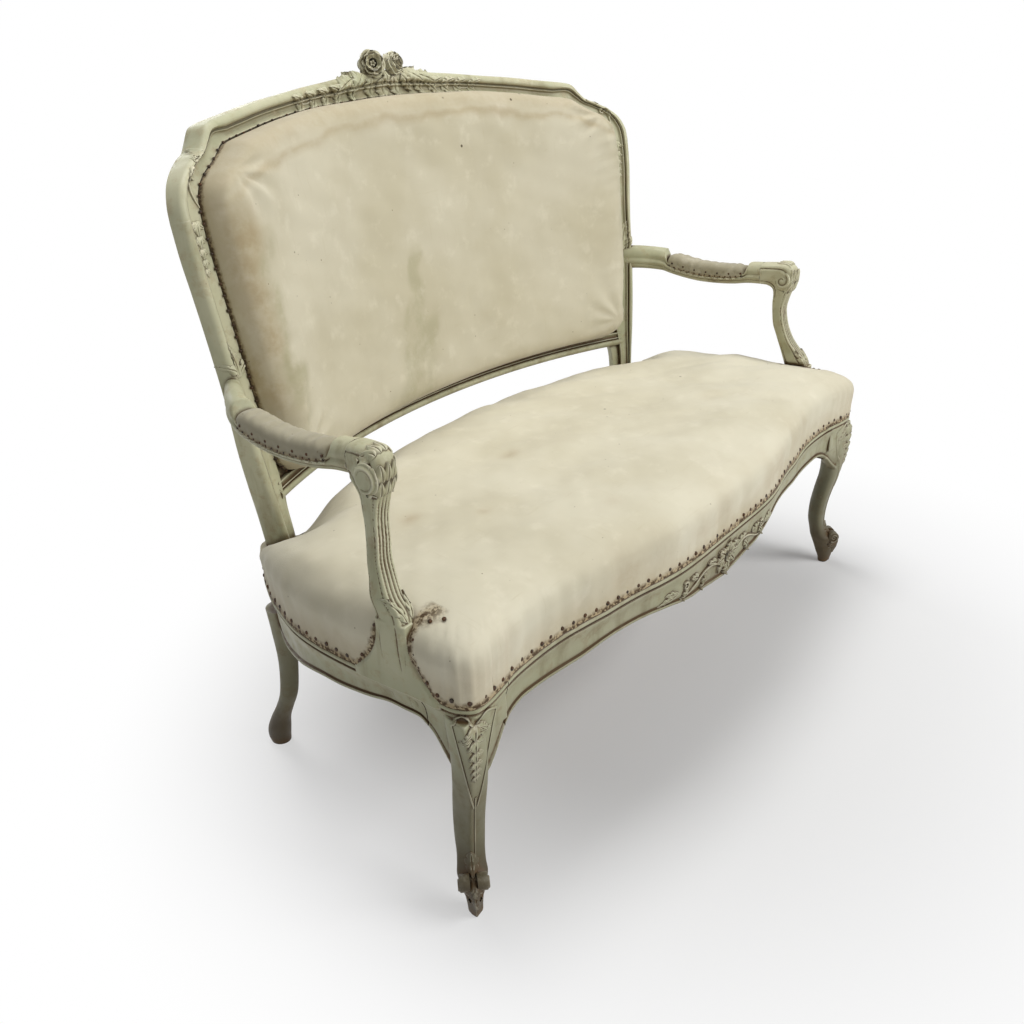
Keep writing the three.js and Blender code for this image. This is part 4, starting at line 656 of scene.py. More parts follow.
def arm_at(back):
    """Middle line of the right arm: point, way across, and its top, bottom and width."""
    back = np.asarray(back, float)

    def place(at):
        return np.stack([read(arm_table, at) * seat_half_width, at * seat_depth], -1)

    nudge = (arm_rear - arm_front) / 20
    before, after = np.maximum(back - nudge, arm_front), np.minimum(back + nudge, arm_rear)
    way = unit(place(before) - place(after))
    way = np.where((back <= arm_front + 1e-6)[..., None], [0.0, -1.0], way)
    side = np.stack([-way[..., 1], way[..., 0]], -1)
    top, bottom, width = [read(arm_table, back, c) for c in (2, 3, 4)]
    return place(back), side, top * arm_height, bottom * arm_height, width * arm_width


def arm_body():
    back = np.linspace(arm_rear, arm_front, 110)
    point, side, top, bottom, width = arm_at(back)
    point[-1, 1] = arm_joint_back + gap
    face = np.array(arm_face)
    half = np.concatenate([face, face[-2:0:-1] * [-1, 1, 1]])
    step = 0.012
    padded = np.clip((back - pad_front) / step + 1, 0, 1) * np.clip((pad_rear - back) / step + 1, 0, 1)
    up = half[:, 1] + (half[:, 2] - half[:, 1]) * padded[:, None]
    plan = point[:, None] + side[:, None] * (half[:, 0] * width[:, None])[..., None]
    height = bottom[:, None] + (top - bottom)[:, None] * up
    return outward(loft(np.concatenate([plan, height[..., None]], -1)))


def arm_pad_body():
    """The padded stretch: a full rounded pad whose cloth is nailed along both sides."""
    share = np.concatenate([np.linspace(0, 0.1, 9), np.linspace(0.112, 0.888, 56), np.linspace(0.9, 1, 9)])
    rise = np.clip(1 - (np.abs(share - 0.5) * 2) ** 9, 0, 1) ** 0.55 * 0.84 + 0.16
    point, side, top, bottom, width = arm_at(pad_rear + (pad_front - pad_rear) * share)
    seat = bottom + (top - bottom) * pad_seat_share - 1.5 * mm
    angle = np.linspace(0, 1, 33)
    across = np.cos(angle * math.pi)
    across = np.sign(across) * np.abs(across) ** 0.62 * 0.525
    across = np.concatenate([[0.53, 0.528], across, [-0.528, -0.53]])
    up = np.concatenate([[-1, -0.5], np.sin(angle * math.pi) ** 0.72, [-0.5, -1]])
    run = share[:, None] * (pad_rear - pad_front) * seat_depth
    nails = np.abs(np.sin(run * math.pi / arm_nail_spacing))
    pulled = np.exp(-((up[None] - 0.12) / 0.2) ** 2) * (1 - nails) ** 2
    ruck = waves(np.stack(np.broadcast_arrays(run * 3, across * 0.04, up * 0.03), -1).reshape(-1, 3),
                 0.05, 11).reshape(run.shape[0], -1)
    wide = across * (width[:, None] * (1 - (1 - rise[:, None]) * 0.25) - pulled * 3.4 * mm)
    fray = waves(np.concatenate([run, run * 0], -1), 0.011, 13)[:, None] * 1.2 * mm
    skirt = np.minimum(up, 0) * ((top - bottom)[:, None] * 0.15 * (0.35 + 0.65 * rise[:, None] ** 2)
                                 + fray * (up < -0.9))
    full = (top - bottom)[:, None] * (1 - pad_seat_share)
    up = np.maximum(up, 0)
    height = seat[:, None] + full * up * rise[:, None] + skirt + ruck * 0.7 * mm * up
    plan = point[:, None] + side[:, None] * wide[..., None]
    return outward(loft(np.concatenate([plan, height[..., None]], -1)))


def arm_nails():
    """Two rows of tacks along each side of the arm pad: large above, small in its hem below."""
    parts = []
    length = (pad_rear - pad_front) * seat_depth
    for start, step, level, aside, tilt, radius in ((0.5, 1, 0.03, 0.525, 0.15, 2.1 * mm),
                                                    (0.25, 0.45, -0.115, 0.531, 0.0, 1.5 * mm)):
        run = np.arange(arm_nail_spacing * start, length, arm_nail_spacing * step)
        point, side, top, bottom, width = arm_at(pad_rear - run / seat_depth)
        height = bottom + (top - bottom) * (pad_seat_share + level)
        for way in (-1, 1):
            plan = point + side * (way * aside * width)[:, None]
            for (x, y), z, (sx, sy) in zip(plan, height, side):
                parts.append(tack([x, y, z], [way * sx, way * sy, tilt], radius))
    return merge(parts)


# Arm support
def support_rows(steps):
    rows = np.array(support_shares)
    outer = seat_place(place_side((rows[:, 0] + rows[:, 2]) / 2 * seat_depth))[0][:, 0]
    base = float(seat_place(place_side(0.265 * seat_depth))[0][0]) - support_foot / 2
    x = np.where(rows[:, 1] < 0.67, outer - support_foot / 2, base) + rows[:, 4] * seat_half_width
    table = np.stack([rows[:, 0] * seat_depth, rows[:, 1] * arm_height, rows[:, 2] * seat_depth,
                      rows[:, 3] * arm_height, x, rows[:, 5] * support_width], 1)
    return along_rows(table.tolist(), steps), base


support_section_shares = [
    [0, -0.3], [0, 0.3], [0.12, 0.46], [0.5, 0.5], [0.88, 0.46], [1, 0.3], [1, -0.3],
    [0.88, -0.46], [0.5, -0.5], [0.12, -0.46],
]
flutes = 5
foot_rise = 0.085


def support_body():
    rows, _ = support_rows(7)
    section = closed_curve(support_section_shares, 16)
    fore_y, fore_z, rear_y, rear_z, x, width = rows.T[:, :, None].copy()
    fore_y[-1] = rear_y[-1] = arm_joint_back
    share, side = section[:, 0], section[:, 1]
    grooves = np.exp(-((share - 0.2) / 0.035) ** 2) + np.exp(-((share - 0.83) / 0.035) ** 2)
    side = side * (1 - 0.13 * grooves * (np.abs(side) > 0.3))
    fluted = np.clip((0.16 - share) / 0.14, 0, 1) * np.clip((0.36 - np.abs(side)) / 0.08, 0, 1)
    fluted = np.broadcast_to(fluted, (len(rows), len(section))).copy()
    level = fore_z / arm_height
    fluted *= np.clip((level - 0.66) / 0.05, 0, 1) * np.clip((0.93 - level) / 0.04, 0, 1)
    groove = fluted * (0.5 - 0.5 * np.cos(side * math.tau * flutes)) * 3.4 * mm
    length = np.maximum(np.hypot(rear_y - fore_y, rear_z - fore_z), 1e-4)
    y = fore_y + (rear_y - fore_y) * (share + groove / length)
    z = fore_z + (rear_z - fore_z) * (share + groove / length)
    return outward(loft(np.stack([x + side * width, y, z], -1)))


def flare_edge(z, way):
    """Front (way -1) or rear (way 1) edge of the support's flared foot at a height."""
    t = np.clip((z - seat_height) / foot_rise, 0, 1)
    return (0.2665 + way * 0.043) * seat_depth + way * 0.05 * (1 - t) ** 2.4


def flare_body():
    """The support's foot, spread over the rail."""
    count, rings = 15, []
    for z in np.linspace(seat_height - 0.012, seat_height + 0.09, 26):
        y = np.linspace(flare_edge(z, -1), flare_edge(z, 1), count)
        across = seat_place(place_side(y))[0][:, 0]
        edge = np.clip(np.minimum(y - y[0], y[-1] - y) / 0.006, 0, 1) ** 0.5
        level = np.full(count, z)
        outside = np.stack([across + 1.5 * mm + 3 * mm * edge, y, level], -1)
        inside = np.stack([across - 0.014, y, level], -1)
        rings.append(np.concatenate([outside, inside[::-1]]))
    return outward(loft(rings))


def volute_body():
    """Rolled knuckle in front of the arm, with a spiral on each face."""
    _, base = support_rows(1)
    middle = np.array([base - 0.037 * seat_half_width, 0.287 * seat_depth + volute_radius,
                       0.957 * arm_height - volute_radius / 8])
    profile = [[-0.5, 0.001], [-0.5, 0.55], [-0.485, 0.8], [-0.44, 0.94], [-0.36, 1], [-0.3, 0.94],
               [-0.26, 0.92], [-0.15, 0.99], [0, 1.02], [0.15, 0.99], [0.26, 0.92], [0.3, 0.94],
               [0.36, 1], [0.44, 0.94], [0.485, 0.8], [0.5, 0.55], [0.5, 0.001]]
    rows = along_rows(profile, 3)
    angle = np.linspace(0, math.tau, 56, endpoint=False)
    radius = np.abs(rows[:, 1:]) * volute_radius
    x = np.broadcast_to(rows[:, :1] * volute_width, (len(rows), len(angle)))
    rings = np.stack([x, radius * np.cos(angle), radius * np.sin(angle)], -1) + middle
    parts = [outward(loft(rings))]
    for way in (-1, 1):
        path = spiral((0, 0), 2.5 * mm, volute_radius * 0.88, 2.1, 0.5)
        coil, eye = tapered(path, 2.2, 5.2, 2.2 * mm), disc(3.6 * mm, 2.6 * mm)
        if way > 0:
            path = spiral((0, 0), volute_radius * 0.7, volute_radius * 0.86, 0.8, 0.2)
            coil, eye = tapered(path, 3, 3, 1.6 * mm), disc(1.5 * mm, 0.1 * mm)
        for points, faces in (coil, eye):
            a, b, h = points.T
            at = np.stack([way * (volute_width / 2 + h), a * way, b], -1) + middle
            parts.append(outward((at, faces)))
    return merge(parts), middle


# Carving. A relief is drawn flat, as [across, up, height off the wood], and laid on the wood.
def leaf(length, width, lobes=3, rise=3 * mm, curl=0.0, bend=0.0, sink=2.5 * mm):
    """Acanthus leaf from the origin upwards: lobed edge, veins, and a tip that curls forward."""
    t = np.linspace(0, 1, 10 + 7 * lobes)
    v = np.linspace(-1, 1, 15)
    wide = np.sin(math.pi * np.clip(t, 0, 1) ** 0.72) ** 0.7 * width / 2
    teeth = np.abs(np.sin(t * lobes * math.pi)) ** 0.55 if lobes > 1 else 1.0
    wide = np.maximum(wide * (0.62 + 0.38 * teeth), 0.04 * width)
    heading = bend * t
    step = np.diff(t, prepend=0) * length
    middle = np.stack([np.cumsum(np.sin(heading) * step), np.cumsum(np.cos(heading) * step)], -1)
    normal = np.stack([np.cos(heading), -np.sin(heading)], -1)
    flat = middle[:, None] + normal[:, None] * (wide[:, None] * v)[..., None]
    dome = np.sqrt(np.clip(1 - v**2 * 0.9, 0, 1))
    swell = (0.35 + 0.65 * np.sin(math.pi * t ** 0.8))[:, None]
    vein = 0.42 * np.exp(-(v / 0.13) ** 2)
    side_veins = 0.22 * np.cos(math.tau * lobes * (t[:, None] - 0.3 * np.abs(v) / lobes)) * np.abs(v)
    height = rise * (swell * dome - vein * swell + side_veins * swell) + curl * t[:, None] ** 3 * dome
    top = np.concatenate([flat, height[..., None]], -1)
    under = np.concatenate([flat[:, ::-1], np.full((len(t), len(v), 1), -sink)], -1)
    return outward(loft(np.concatenate([top, under], 1)))


def ridge(path, widths, rise, sink=2 * mm):
    """A raised rounded moulding along a flat path."""
    path, widths = np.asarray(path, float), np.asarray(widths, float)
    way = unit(np.gradient(path, axis=0))
    normal = np.stack([way[:, 1], -way[:, 0]], -1)
    v = np.linspace(-1, 1, 9)
    flat = path[:, None] + normal[:, None] * (widths[:, None] / 2 * v)[..., None]
    size = np.clip(widths / widths.max(), 0, 1)[:, None] ** 0.5
    height = rise * np.sqrt(np.clip(1 - v**2, 0, 1)) * size
    top = np.concatenate([flat, height[..., None]], -1)
    ends = flat[:, [-1, 0]]
    under = np.concatenate([ends, np.full((len(path), 2, 1), -sink)], -1)
    return outward(loft(np.concatenate([top, under], 1)))


def tapered(path, first, last, rise, sink=2 * mm):
    """A ridge whose width goes evenly from first to last, in millimetres."""
    return ridge(path, np.linspace(first, last, len(path)) * mm, rise, sink)


def spiral(centre, inner, outer, turns, start):
    angle = np.linspace(0, turns * math.tau, max(12, int(turns * 34)))
    radius = inner * (outer / inner) ** (angle / angle[-1])
    angle = angle + start
    return np.stack([centre[0] + radius * np.cos(angle), centre[1] + radius * np.sin(angle)], -1)


def moved(body, across=0.0, up=0.0, turn=0.0, scale=1.0, flip=False, lift=0.0):
    """A relief turned clockwise, scaled and moved on its own flat drawing."""
    points, faces = body
    points = points * [-scale if flip else scale, scale, scale]
    if flip:
        faces = [face[::-1] for face in faces]
    c, s = math.cos(turn), math.sin(turn)
    a, b = points[:, 0] * c + points[:, 1] * s, -points[:, 0] * s + points[:, 1] * c
    return np.stack([a + across, b + up, points[:, 2] + lift], -1), faces


def petal(turn, reach, half_angle, base, lift, roll, sink, start=0.12):
    """One cupped petal: rises outwards and rolls over at its rim."""
    t = np.linspace(start, 1, 10)
    v = np.linspace(-1, 1, 9)
    t = t[:, None]
    radius = reach * t * (1 - 0.16 * v**2 * t ** 3)
    angle = turn + half_angle * v * (0.55 + 0.45 * np.sin(t * math.pi * 0.62))
    rim = np.clip((t - 0.72) / 0.28, 0, 1)
    cup = lift * 0.35 * (1 - np.abs(v)) * (1 - rim) * t
    height = base + lift * t ** 1.6 - roll * rim**2 - cup
    top = np.stack([radius * np.sin(angle), radius * np.cos(angle), height], -1)
    under = top[:, ::-1] * [1, 1, 0] - [0, 0, sink]
    return outward(loft(np.concatenate([top, under], 1)))


def rose(radius, open_heart, seed):
    """A carved rose: layers of petals round a bud or a hollow heart."""
    rng = np.random.default_rng(seed)
    parts = []
    layers = [(1.0, 6, -0.25, 0.55, 0.42), (0.84, 5, 0.1, 0.62, 0.3)]
    heart = [(0.62, 5, 0.4, 0.5, 0.2), (0.4, 3, 0.75, 0.4, 0.12), (0.22, 3, 1.0, 0.25, 0.05)]
    layers += [(0.62, 5, 0.42, 0.62, 0.2)] if open_heart else heart
    for reach, count, base, lift, roll in layers:
        start = rng.uniform(0, math.tau)
        for k in range(count):
            turn = start + (k + rng.uniform(-0.12, 0.12)) * math.tau / count
            parts.append(petal(turn, radius * reach * rng.uniform(0.92, 1.04), math.pi / count * 1.12,
                               base * radius * 0.6, lift * radius * 0.8, roll * radius * 0.6, 0.5 * radius,
                               0.55 if open_heart and reach < 0.9 else 0.12))
    if open_heart:
        bead = disc(0.1 * radius, 0.3 * radius, 0.5 * radius)
        for turn in np.arange(5) * 1.26:
            parts.append(moved(bead, math.cos(turn) * radius * 0.15, math.sin(turn) * radius * 0.15))
    return merge(parts)


def husks(count, length, width, rise, shrink=0.78):
    """A drop of bellflowers, each of three lobes, the largest at the top."""
    parts, at, size = [], 0.0, 1.0
    for _ in range(count):
        parts.append(moved(leaf(length, width * 0.5, 1, rise), 0, at, math.pi, size))
        for way in (-1, 1):
            side = leaf(length * 0.82, width * 0.42, 1, rise * 0.85, bend=0.75)
            parts.append(moved(side, 0, at, math.pi - way * 0.5, size, flip=way > 0))
        at -= length * size * 0.92
        size *= shrink
    return merge(parts)


def tack(place, way, radius):
    """A round tack head, slightly domed, standing on the cloth."""
    way = unit(np.asarray(way, float))
    side = unit(np.cross(way, [0.3, 0.2, 0.9] if abs(way[2]) < 0.9 else [1, 0, 0]))
    up = np.cross(way, side)
    angle = np.linspace(0, math.tau, 10, endpoint=False)[:, None]
    rings = []
    for share, height in ((1, -0.5), (1, 0.12), (0.86, 0.34), (0.5, 0.5), (0.12, 0.55)):
        ring = (side * np.cos(angle) + up * np.sin(angle)) * radius * share
        rings.append(np.asarray(place) + ring + way * height * radius)
    return outward(loft(rings))


def tree_of(body):
    return BVHTree.FromPolygons(np.asarray(body[0]).tolist(), body[1])


def carve(tree, relief, centre, right, up, far=0.08):
    """Lay a relief on the wood, looking straight at it: right and up are the drawing's axes."""
    right, up = unit(np.asarray(right, float)), np.asarray(up, float)
    up = unit(up - right * np.dot(up, right))
    out = np.cross(right, up)
    points, faces = relief
    base = np.asarray(centre, float) + points[:, :1] * right + points[:, 1:2] * up
    placed = np.empty_like(base)
    for i, start in enumerate(base):
        hit = tree.ray_cast(Vector(start + out * far), Vector(-out), far * 2)
        way = out
        if hit[0] is None:
            hit = tree.find_nearest(Vector(start))
            way = np.array(hit[1])
        placed[i] = np.array(hit[0]) + way * points[i, 2]
    return placed, faces


def disc(radius, rise, sink=3 * mm):
    """A round boss."""
    angle = np.linspace(0, math.tau, 28, endpoint=False)
    flat = np.stack([np.cos(angle), np.sin(angle)], -1) * radius
    rows = ((1, -sink), (1, rise * 0.45), (0.93, rise * 0.8), (0.75, rise), (0.3, rise * 1.1),
            (0.02, rise * 1.12))
    return outward(loft([np.concatenate([flat * share, np.full((28, 1), h)], 1) for share, h in rows]))


def facing(body, centre, look, up=(0.0, 0.0, 1.0)):
    """A relief set up in space, facing the way that look points."""
    look = unit(np.asarray(look, float))
    right = unit(np.cross(np.asarray(up, float), look))
    points, faces = body
    top = np.cross(look, right)
    return np.asarray(centre) + points[:, :1] * right + points[:, 1:2] * top + points[:, 2:] * look, faces


# Soft goods
floor_level = wood_top + 6 * mm
stile_foot_outer, stile_foot_inner = stile_edges(np.array([wood_top]))
stile_foot = back_point((stile_foot_outer[0, 0] + stile_foot_inner[0, 0]) / 2, wood_top)


def columns(lower, upper, side):
    """Places round a pad in order: its lower edge, right side, upper edge and left side."""
    return np.concatenate([lower, side[1:-1], upper[::-1], (side[1:-1] * [-1, 1])[::-1]])


def seat_places():
    """Outline places whose front and rear columns meet on the seat's middle line."""
    reach = seat_middle_share * seat_half_width
    x = np.linspace(-reach, reach, 90)
    rear = np.sign(x) * place_rear(np.abs(x))
    front = place_across(np.abs(x))
    front = np.where(x < 0, 1 - front, front)
    side = np.linspace(float(place_rear(reach)), float(place_across(reach)), 176)[1:-1]
    return np.concatenate([rear, side, front[::-1], 1 - side[::-1]])


def stops(counts, table):
    """Smooth rows of a table with the given number of steps after each of its rows."""
    at = np.concatenate([i + np.linspace(0, 1, n, endpoint=False) for i, n in enumerate(counts)])
    rows = [[i, *row] for i, row in enumerate(table)]
    return np.stack([read(rows, np.append(at, len(counts)), c + 1) for c in range(len(table[0]))], 1)


def seat_middle(point):
    """Where the columns at these places of the outline meet, on the seat's middle line."""
    reach = seat_middle_share * seat_half_width
    return np.stack([np.clip(point[:, 0], -reach, reach), np.full(len(point), seat_depth / 2)], -1)


def seat_shell():
    """Outside of the seat cloth as rings from the tacked edge to the middle."""
    places = seat_places()
    point, _, out = seat_place(places)
    rows = stops([6, 6, 5, 6, 6, 6, 10, 20, 9], [*seat_pad_shares, [1, 1, 0]])
    inwards, height, swell = rows.T[:, :, None]
    middle = seat_middle(point)
    edge = point + out * (swell * ledge)[..., None]
    plan = edge + (middle - edge) * inwards[..., None]
    away = np.hypot(np.abs(plan[..., 0]) - stile_foot[0], plan[..., 1] - stile_foot[1]) / tuck_reach
    drawn = 1 - tuck_share * np.exp(-away**2)
    z = seat_height + gap + np.broadcast_to(height, away.shape) * (pad_height - gap) * drawn
    run = (places % 1) * outline_length
    nails = np.abs(np.cos(run * math.pi / seat_nail_spacing))
    low = np.exp(-((height - 0.06) / 0.16) ** 2)
    corner = np.minimum(np.abs(places % 1 - corner_place), np.abs(places % 1 - 1 + corner_place))
    corner = corner * outline_length
    gathers = np.exp(-(corner / 0.075) ** 2)
    rucks = np.abs(np.sin(run * math.pi / 0.0165 + 0.7 * np.sin(run * 31))) - 0.55
    wall = np.clip(1 - inwards / 0.09, 0, 1) * np.clip(height / 0.15, 0, 1)
    push = -low * (1 - nails) ** 1.5 * 0.9 * mm + gathers * rucks * wall * 4.2 * mm
    push += wall * waves(np.stack([run, np.zeros_like(run)], -1), 0.06, 4) * 0.9 * mm
    support = np.abs(point[:, 1] - 0.268 * seat_depth) / 0.034
    push += -np.exp(-support**2) * wall * 3 * mm + np.exp(-((support - 1.7) / 0.5) ** 2) * wall * 1.6 * mm
    plan = plan + out * push[..., None] * (1 - inwards[..., None])
    flat = plan.reshape(-1, 2)
    top = np.clip(inwards / 0.12, 0, 1)
    uneven = waves(flat, 0.17, 21).reshape(z.shape) * 2.3 + waves(flat, 0.06, 22).reshape(z.shape) * 0.7
    dips = sum(np.exp(-((plan[..., 0] - x) ** 2 / 0.03 + (plan[..., 1] - 0.3) ** 2 / 0.016))
               for x in (-0.27, 0.29))
    shoulder = np.clip(1 - np.abs(inwards - 0.07) / 0.09, 0, 1)
    z = z + top * (uneven - dips * 5) * mm - gathers * shoulder * rucks * 2.2 * mm
    z[0] += (nails * 1.6 + waves(np.stack([run, run * 0], -1), 0.03, 5) * 0.8) * mm - 0.6 * mm
    outside = np.clip((np.abs(plan[..., 0]) - stile_foot[0]) / 0.012, 0, 1)
    behind = np.clip((plan[..., 1] - stile_foot[1] + 0.012) / 0.014, 0, 1)
    corner_top = wood_top + 4 * mm
    z = z - np.maximum(z - corner_top, 0) * outside * behind
    return np.concatenate([plan, z[..., None]], -1)


def back_line():
    """The cloth line round the back, as places whose upper and lower columns meet."""
    share = rebate_share + cloth_lap_share
    outer, inner, _ = crest_rows(9)
    half = len(outer) // 2 + 1
    crest = (outer + (inner - outer) * share)[:half]
    z = np.linspace(back_bottom + lower_rail_height * 1.3, stile_joint_height, 60)[:-1]
    outer, inner = stile_edges(z)
    stile = outer + (inner - outer) * share
    low = back_bottom + lower_rail_height * share
    foot = np.array([back_half_width * 0.79, low])
    turn = (2 * stile[0] + foot) / 3 * [1, 0] + (2 * foot + stile[0]) / 3 * [0, 1]
    reach = back_middle_share * back_half_width
    x = np.linspace(-reach, reach, 72)
    upper = np.stack([x, np.interp(np.abs(x), crest[::-1, 0], crest[::-1, 1])], -1)
    lower = np.stack([x, np.full(len(x), low)], -1)
    around = np.concatenate([[[reach, low], foot, turn], stile, crest[crest[:, 0] > reach], upper[-1:]])
    return columns(lower, upper, resample(around, 190))


def back_shell():
    """Outside of the back cloth as rings from the tacked edge to the middle."""
    line = back_line()
    rows = stops([5, 5, 6, 6, 8, 16, 16, 9], [*back_pad_shares, [1, 1.02]])
    inwards, bulge = rows.T[:, :, None]
    reach = back_middle_share * back_half_width
    middle = np.stack([np.clip(line[:, 0], -reach, reach),
                       np.full(len(line), back_middle_height_share * back_height)], -1)
    flat = line + (middle - line) * inwards[..., None]
    step = np.linalg.norm(np.diff(line, axis=0, append=line[:1]), axis=1)
    run = np.concatenate([[0], np.cumsum(step)[:-1]])
    nails = np.abs(np.cos(run * math.pi / back_nail_spacing))
    edge = np.exp(-((bulge - 0.12) / 0.2) ** 2) * np.clip(1 - inwards / 0.04, 0, 1)
    behind = rebate_depth / 2 - bulge * back_pad_bulge + edge * (1 - nails) ** 1.5 * 1.5 * mm
    behind = np.broadcast_to(behind, flat.shape[:2]).copy()
    plan = flat.reshape(-1, 2)
    top = np.clip(inwards / 0.1, 0, 1)
    behind -= top * (waves(plan, 0.2, 31) * 2.6 + waves(plan, 0.07, 32) * 0.6).reshape(behind.shape) * mm
    for x, z, swing in ((0.47, 0.935, 2.3), (-0.47, 0.935, 2.3), (0.455, 0.53, -2.2),
                        (-0.455, 0.53, -2.2)):
        dx, dz = (flat[..., 0] - x) * np.sign(x), flat[..., 1] - z
        away = np.hypot(dx, dz)
        angle = np.arctan2(dz, -dx)
        folds = np.cos((angle + swing * 0.1) * 9 + 1.5 * np.sin(angle * 2))
        behind -= folds * np.exp(-((away - 0.045) / 0.03) ** 2) * 2.6 * mm
    level = waves(np.stack([flat[..., 0].ravel() * 0.25, flat[..., 1].ravel()], -1), 0.03, 33)
    sides = np.clip(1 - (back_half_width * 0.93 - np.abs(flat[..., 0])) / 0.09, 0, 1)
    behind -= sides * level.reshape(behind.shape) * 1.1 * mm
    return back_point(flat[..., 0], flat[..., 1], behind)


settling_frames = 16


def settle(rings, held_rows, pressure, cap, fullness):
    """Let the cloth of a pad, tacked at its edge and a little full, settle over its stuffing."""
    holder = new_object("settling", loft(rings, caps=False))
    rows, count = rings.shape[:2]
    group = holder.vertex_groups.new(name="held")
    for row in range(rows):
        weight = 1.0 if row > rows - 4 else max(0.0, 1 - row / held_rows)
        if weight:
            group.add(list(range(row * count, (row + 1) * count)), weight, "REPLACE")
    sim = holder.modifiers.new("Cloth", "CLOTH")
    for key, value in {
            "quality": 4, "mass": 0.3, "tension_stiffness": 22, "compression_stiffness": 22,
            "shear_stiffness": 8, "bending_stiffness": 0.4, "use_pressure": True,
            "uniform_pressure_force": pressure, "shrink_min": -fullness, "shrink_max": -fullness,
            "vertex_group_mass": "held"}.items():
        setattr(sim.settings, key, value)
    sim.settings.effector_weights.gravity = 0
    sim.collision_settings.use_collision = False
    sim.collision_settings.use_self_collision = False
    scene = bpy.context.scene
    for frame_number in range(1, settling_frames + 1):
        scene.frame_set(frame_number)
    settled, _ = shaped_body(holder)
    scene.frame_set(1)
    start = rings.reshape(-1, 3)
    change = settled - start
    size = np.linalg.norm(change, axis=1, keepdims=True)
    change *= cap * np.tanh(size / cap) / np.maximum(size, 1e-9)
    return (start + change).reshape(rings.shape)


def weld(body, reach=2e-5):
    """The same body with points that meet joined."""
    mesh = bmesh.new()
    points = [mesh.verts.new(p) for p in np.asarray(body[0]).tolist()]
    for face in body[1]:
        mesh.faces.new([points[i] for i in face])
    bmesh.ops.remove_doubles(mesh, verts=mesh.verts, dist=reach)
    mesh.verts.index_update()
    result = (np.array([v.co[:] for v in mesh.verts]), [[v.index for v in f.verts] for f in mesh.faces])
    mesh.free()
    return result


def padded_body(lining, shell):
    """A closed pad: the rings of its lining, then those of its cloth, which meet in the middle."""
    points, faces = loft(np.concatenate([lining, shell]), caps=False)
    faces.append(list(range(shell.shape[1]))[::-1])
    return outward(weld((points, faces)))


def seat_body():
    shell = settle(seat_shell(), 14, 2.2, 6 * mm, 0.012)
    point, _, out = seat_place(seat_places())
    lining = []
    for z, inset in ((floor_level, 0.03), (floor_level, cloth), (seat_height + 8 * mm, cloth),
                     (shell[0, :, 2], cloth + ledge * 0.4)):
        lining.append(np.column_stack([point - out * inset, np.broadcast_to(z, len(point))]))
    return padded_body(np.array(lining), shell)


def back_inset(inwards, behind, line=None):
    """The back's cloth line drawn in towards the middle by a share, at a depth."""
    line = back_line() if line is None else line
    middle = np.array([0, back_middle_height_share * back_height])
    return back_point(*(line + (middle - line) * inwards).T, behind)


def back_body():
    shell = settle(back_shell(), 12, 1.6, 6 * mm, 0.01)
    lining = [back_inset(*at) for at in ((0.03, 1.5 * mm), (0.004, 1.5 * mm), (0.003, 3.4 * mm))]
    return padded_body(np.array(lining), shell)


def nails_along(points, ways, spacing, radius, seed):
    """Tacks at even steps along a closed or open line of points, with the odd one out of line."""
    rng = np.random.default_rng(seed)
    step = np.linalg.norm(np.diff(points, axis=0), axis=1)
    run = np.concatenate([[0], np.cumsum(step)])
    parts = []
    for at in np.arange(spacing / 2, run[-1], spacing):
        at = at + rng.normal(0, spacing * 0.05)
        place = np.array([np.interp(at, run, points[:, c]) for c in range(3)])
        way = np.array([np.interp(at, run, ways[:, c]) for c in range(3)])
        parts.append(tack(place + rng.normal(0, 0.4 * mm, 3), way, radius * rng.uniform(0.88, 1.1)))
    return merge(parts)


def seat_nails():
    """Tacks round the seat, broken at the shoulders of the rear posts."""
    shoulder = float(place_side(rear_shoulder_back))
    start = float(place_side(rear_shoulder_back - 0.004))
    parts = []
    for first, last, count, seed in ((start, 1 - start, 900, 3), (-shoulder, shoulder, 500, 4)):
        point, _, out = seat_place(np.linspace(first, last, count))
        level = np.full(count, seat_height + 9.5 * mm)
        line = np.column_stack([point + out * ledge * 0.2, level])
        ways = np.column_stack([out, np.zeros(count)])
        parts.append(nails_along(line, ways, seat_nail_spacing, 3 * mm, seed))
    return merge(parts)


def back_nails(head, tip, spacing, seed):
    """Tacks round the back, each pointing from one line towards another: [share, depth]."""
    line = np.concatenate([back_line(), back_line()[:1]])
    points = back_inset(*head, line)
    return nails_along(points, back_inset(*tip, line) - points, spacing, 2 * mm, seed)


# Finishes
def add_node(tree, kind, inputs=(), **settings):
    """A shader node. Each of its inputs is a value, or the output of another node."""
    made = tree.nodes.new(kind)
    for key, value in settings.items():
        setattr(made, key, value)
    for key, value in dict(inputs).items():
        if isinstance(value, bpy.types.NodeSocket):
            tree.links.new(value, made.inputs[key])
        else:
            made.inputs[key].default_value = value
    return made


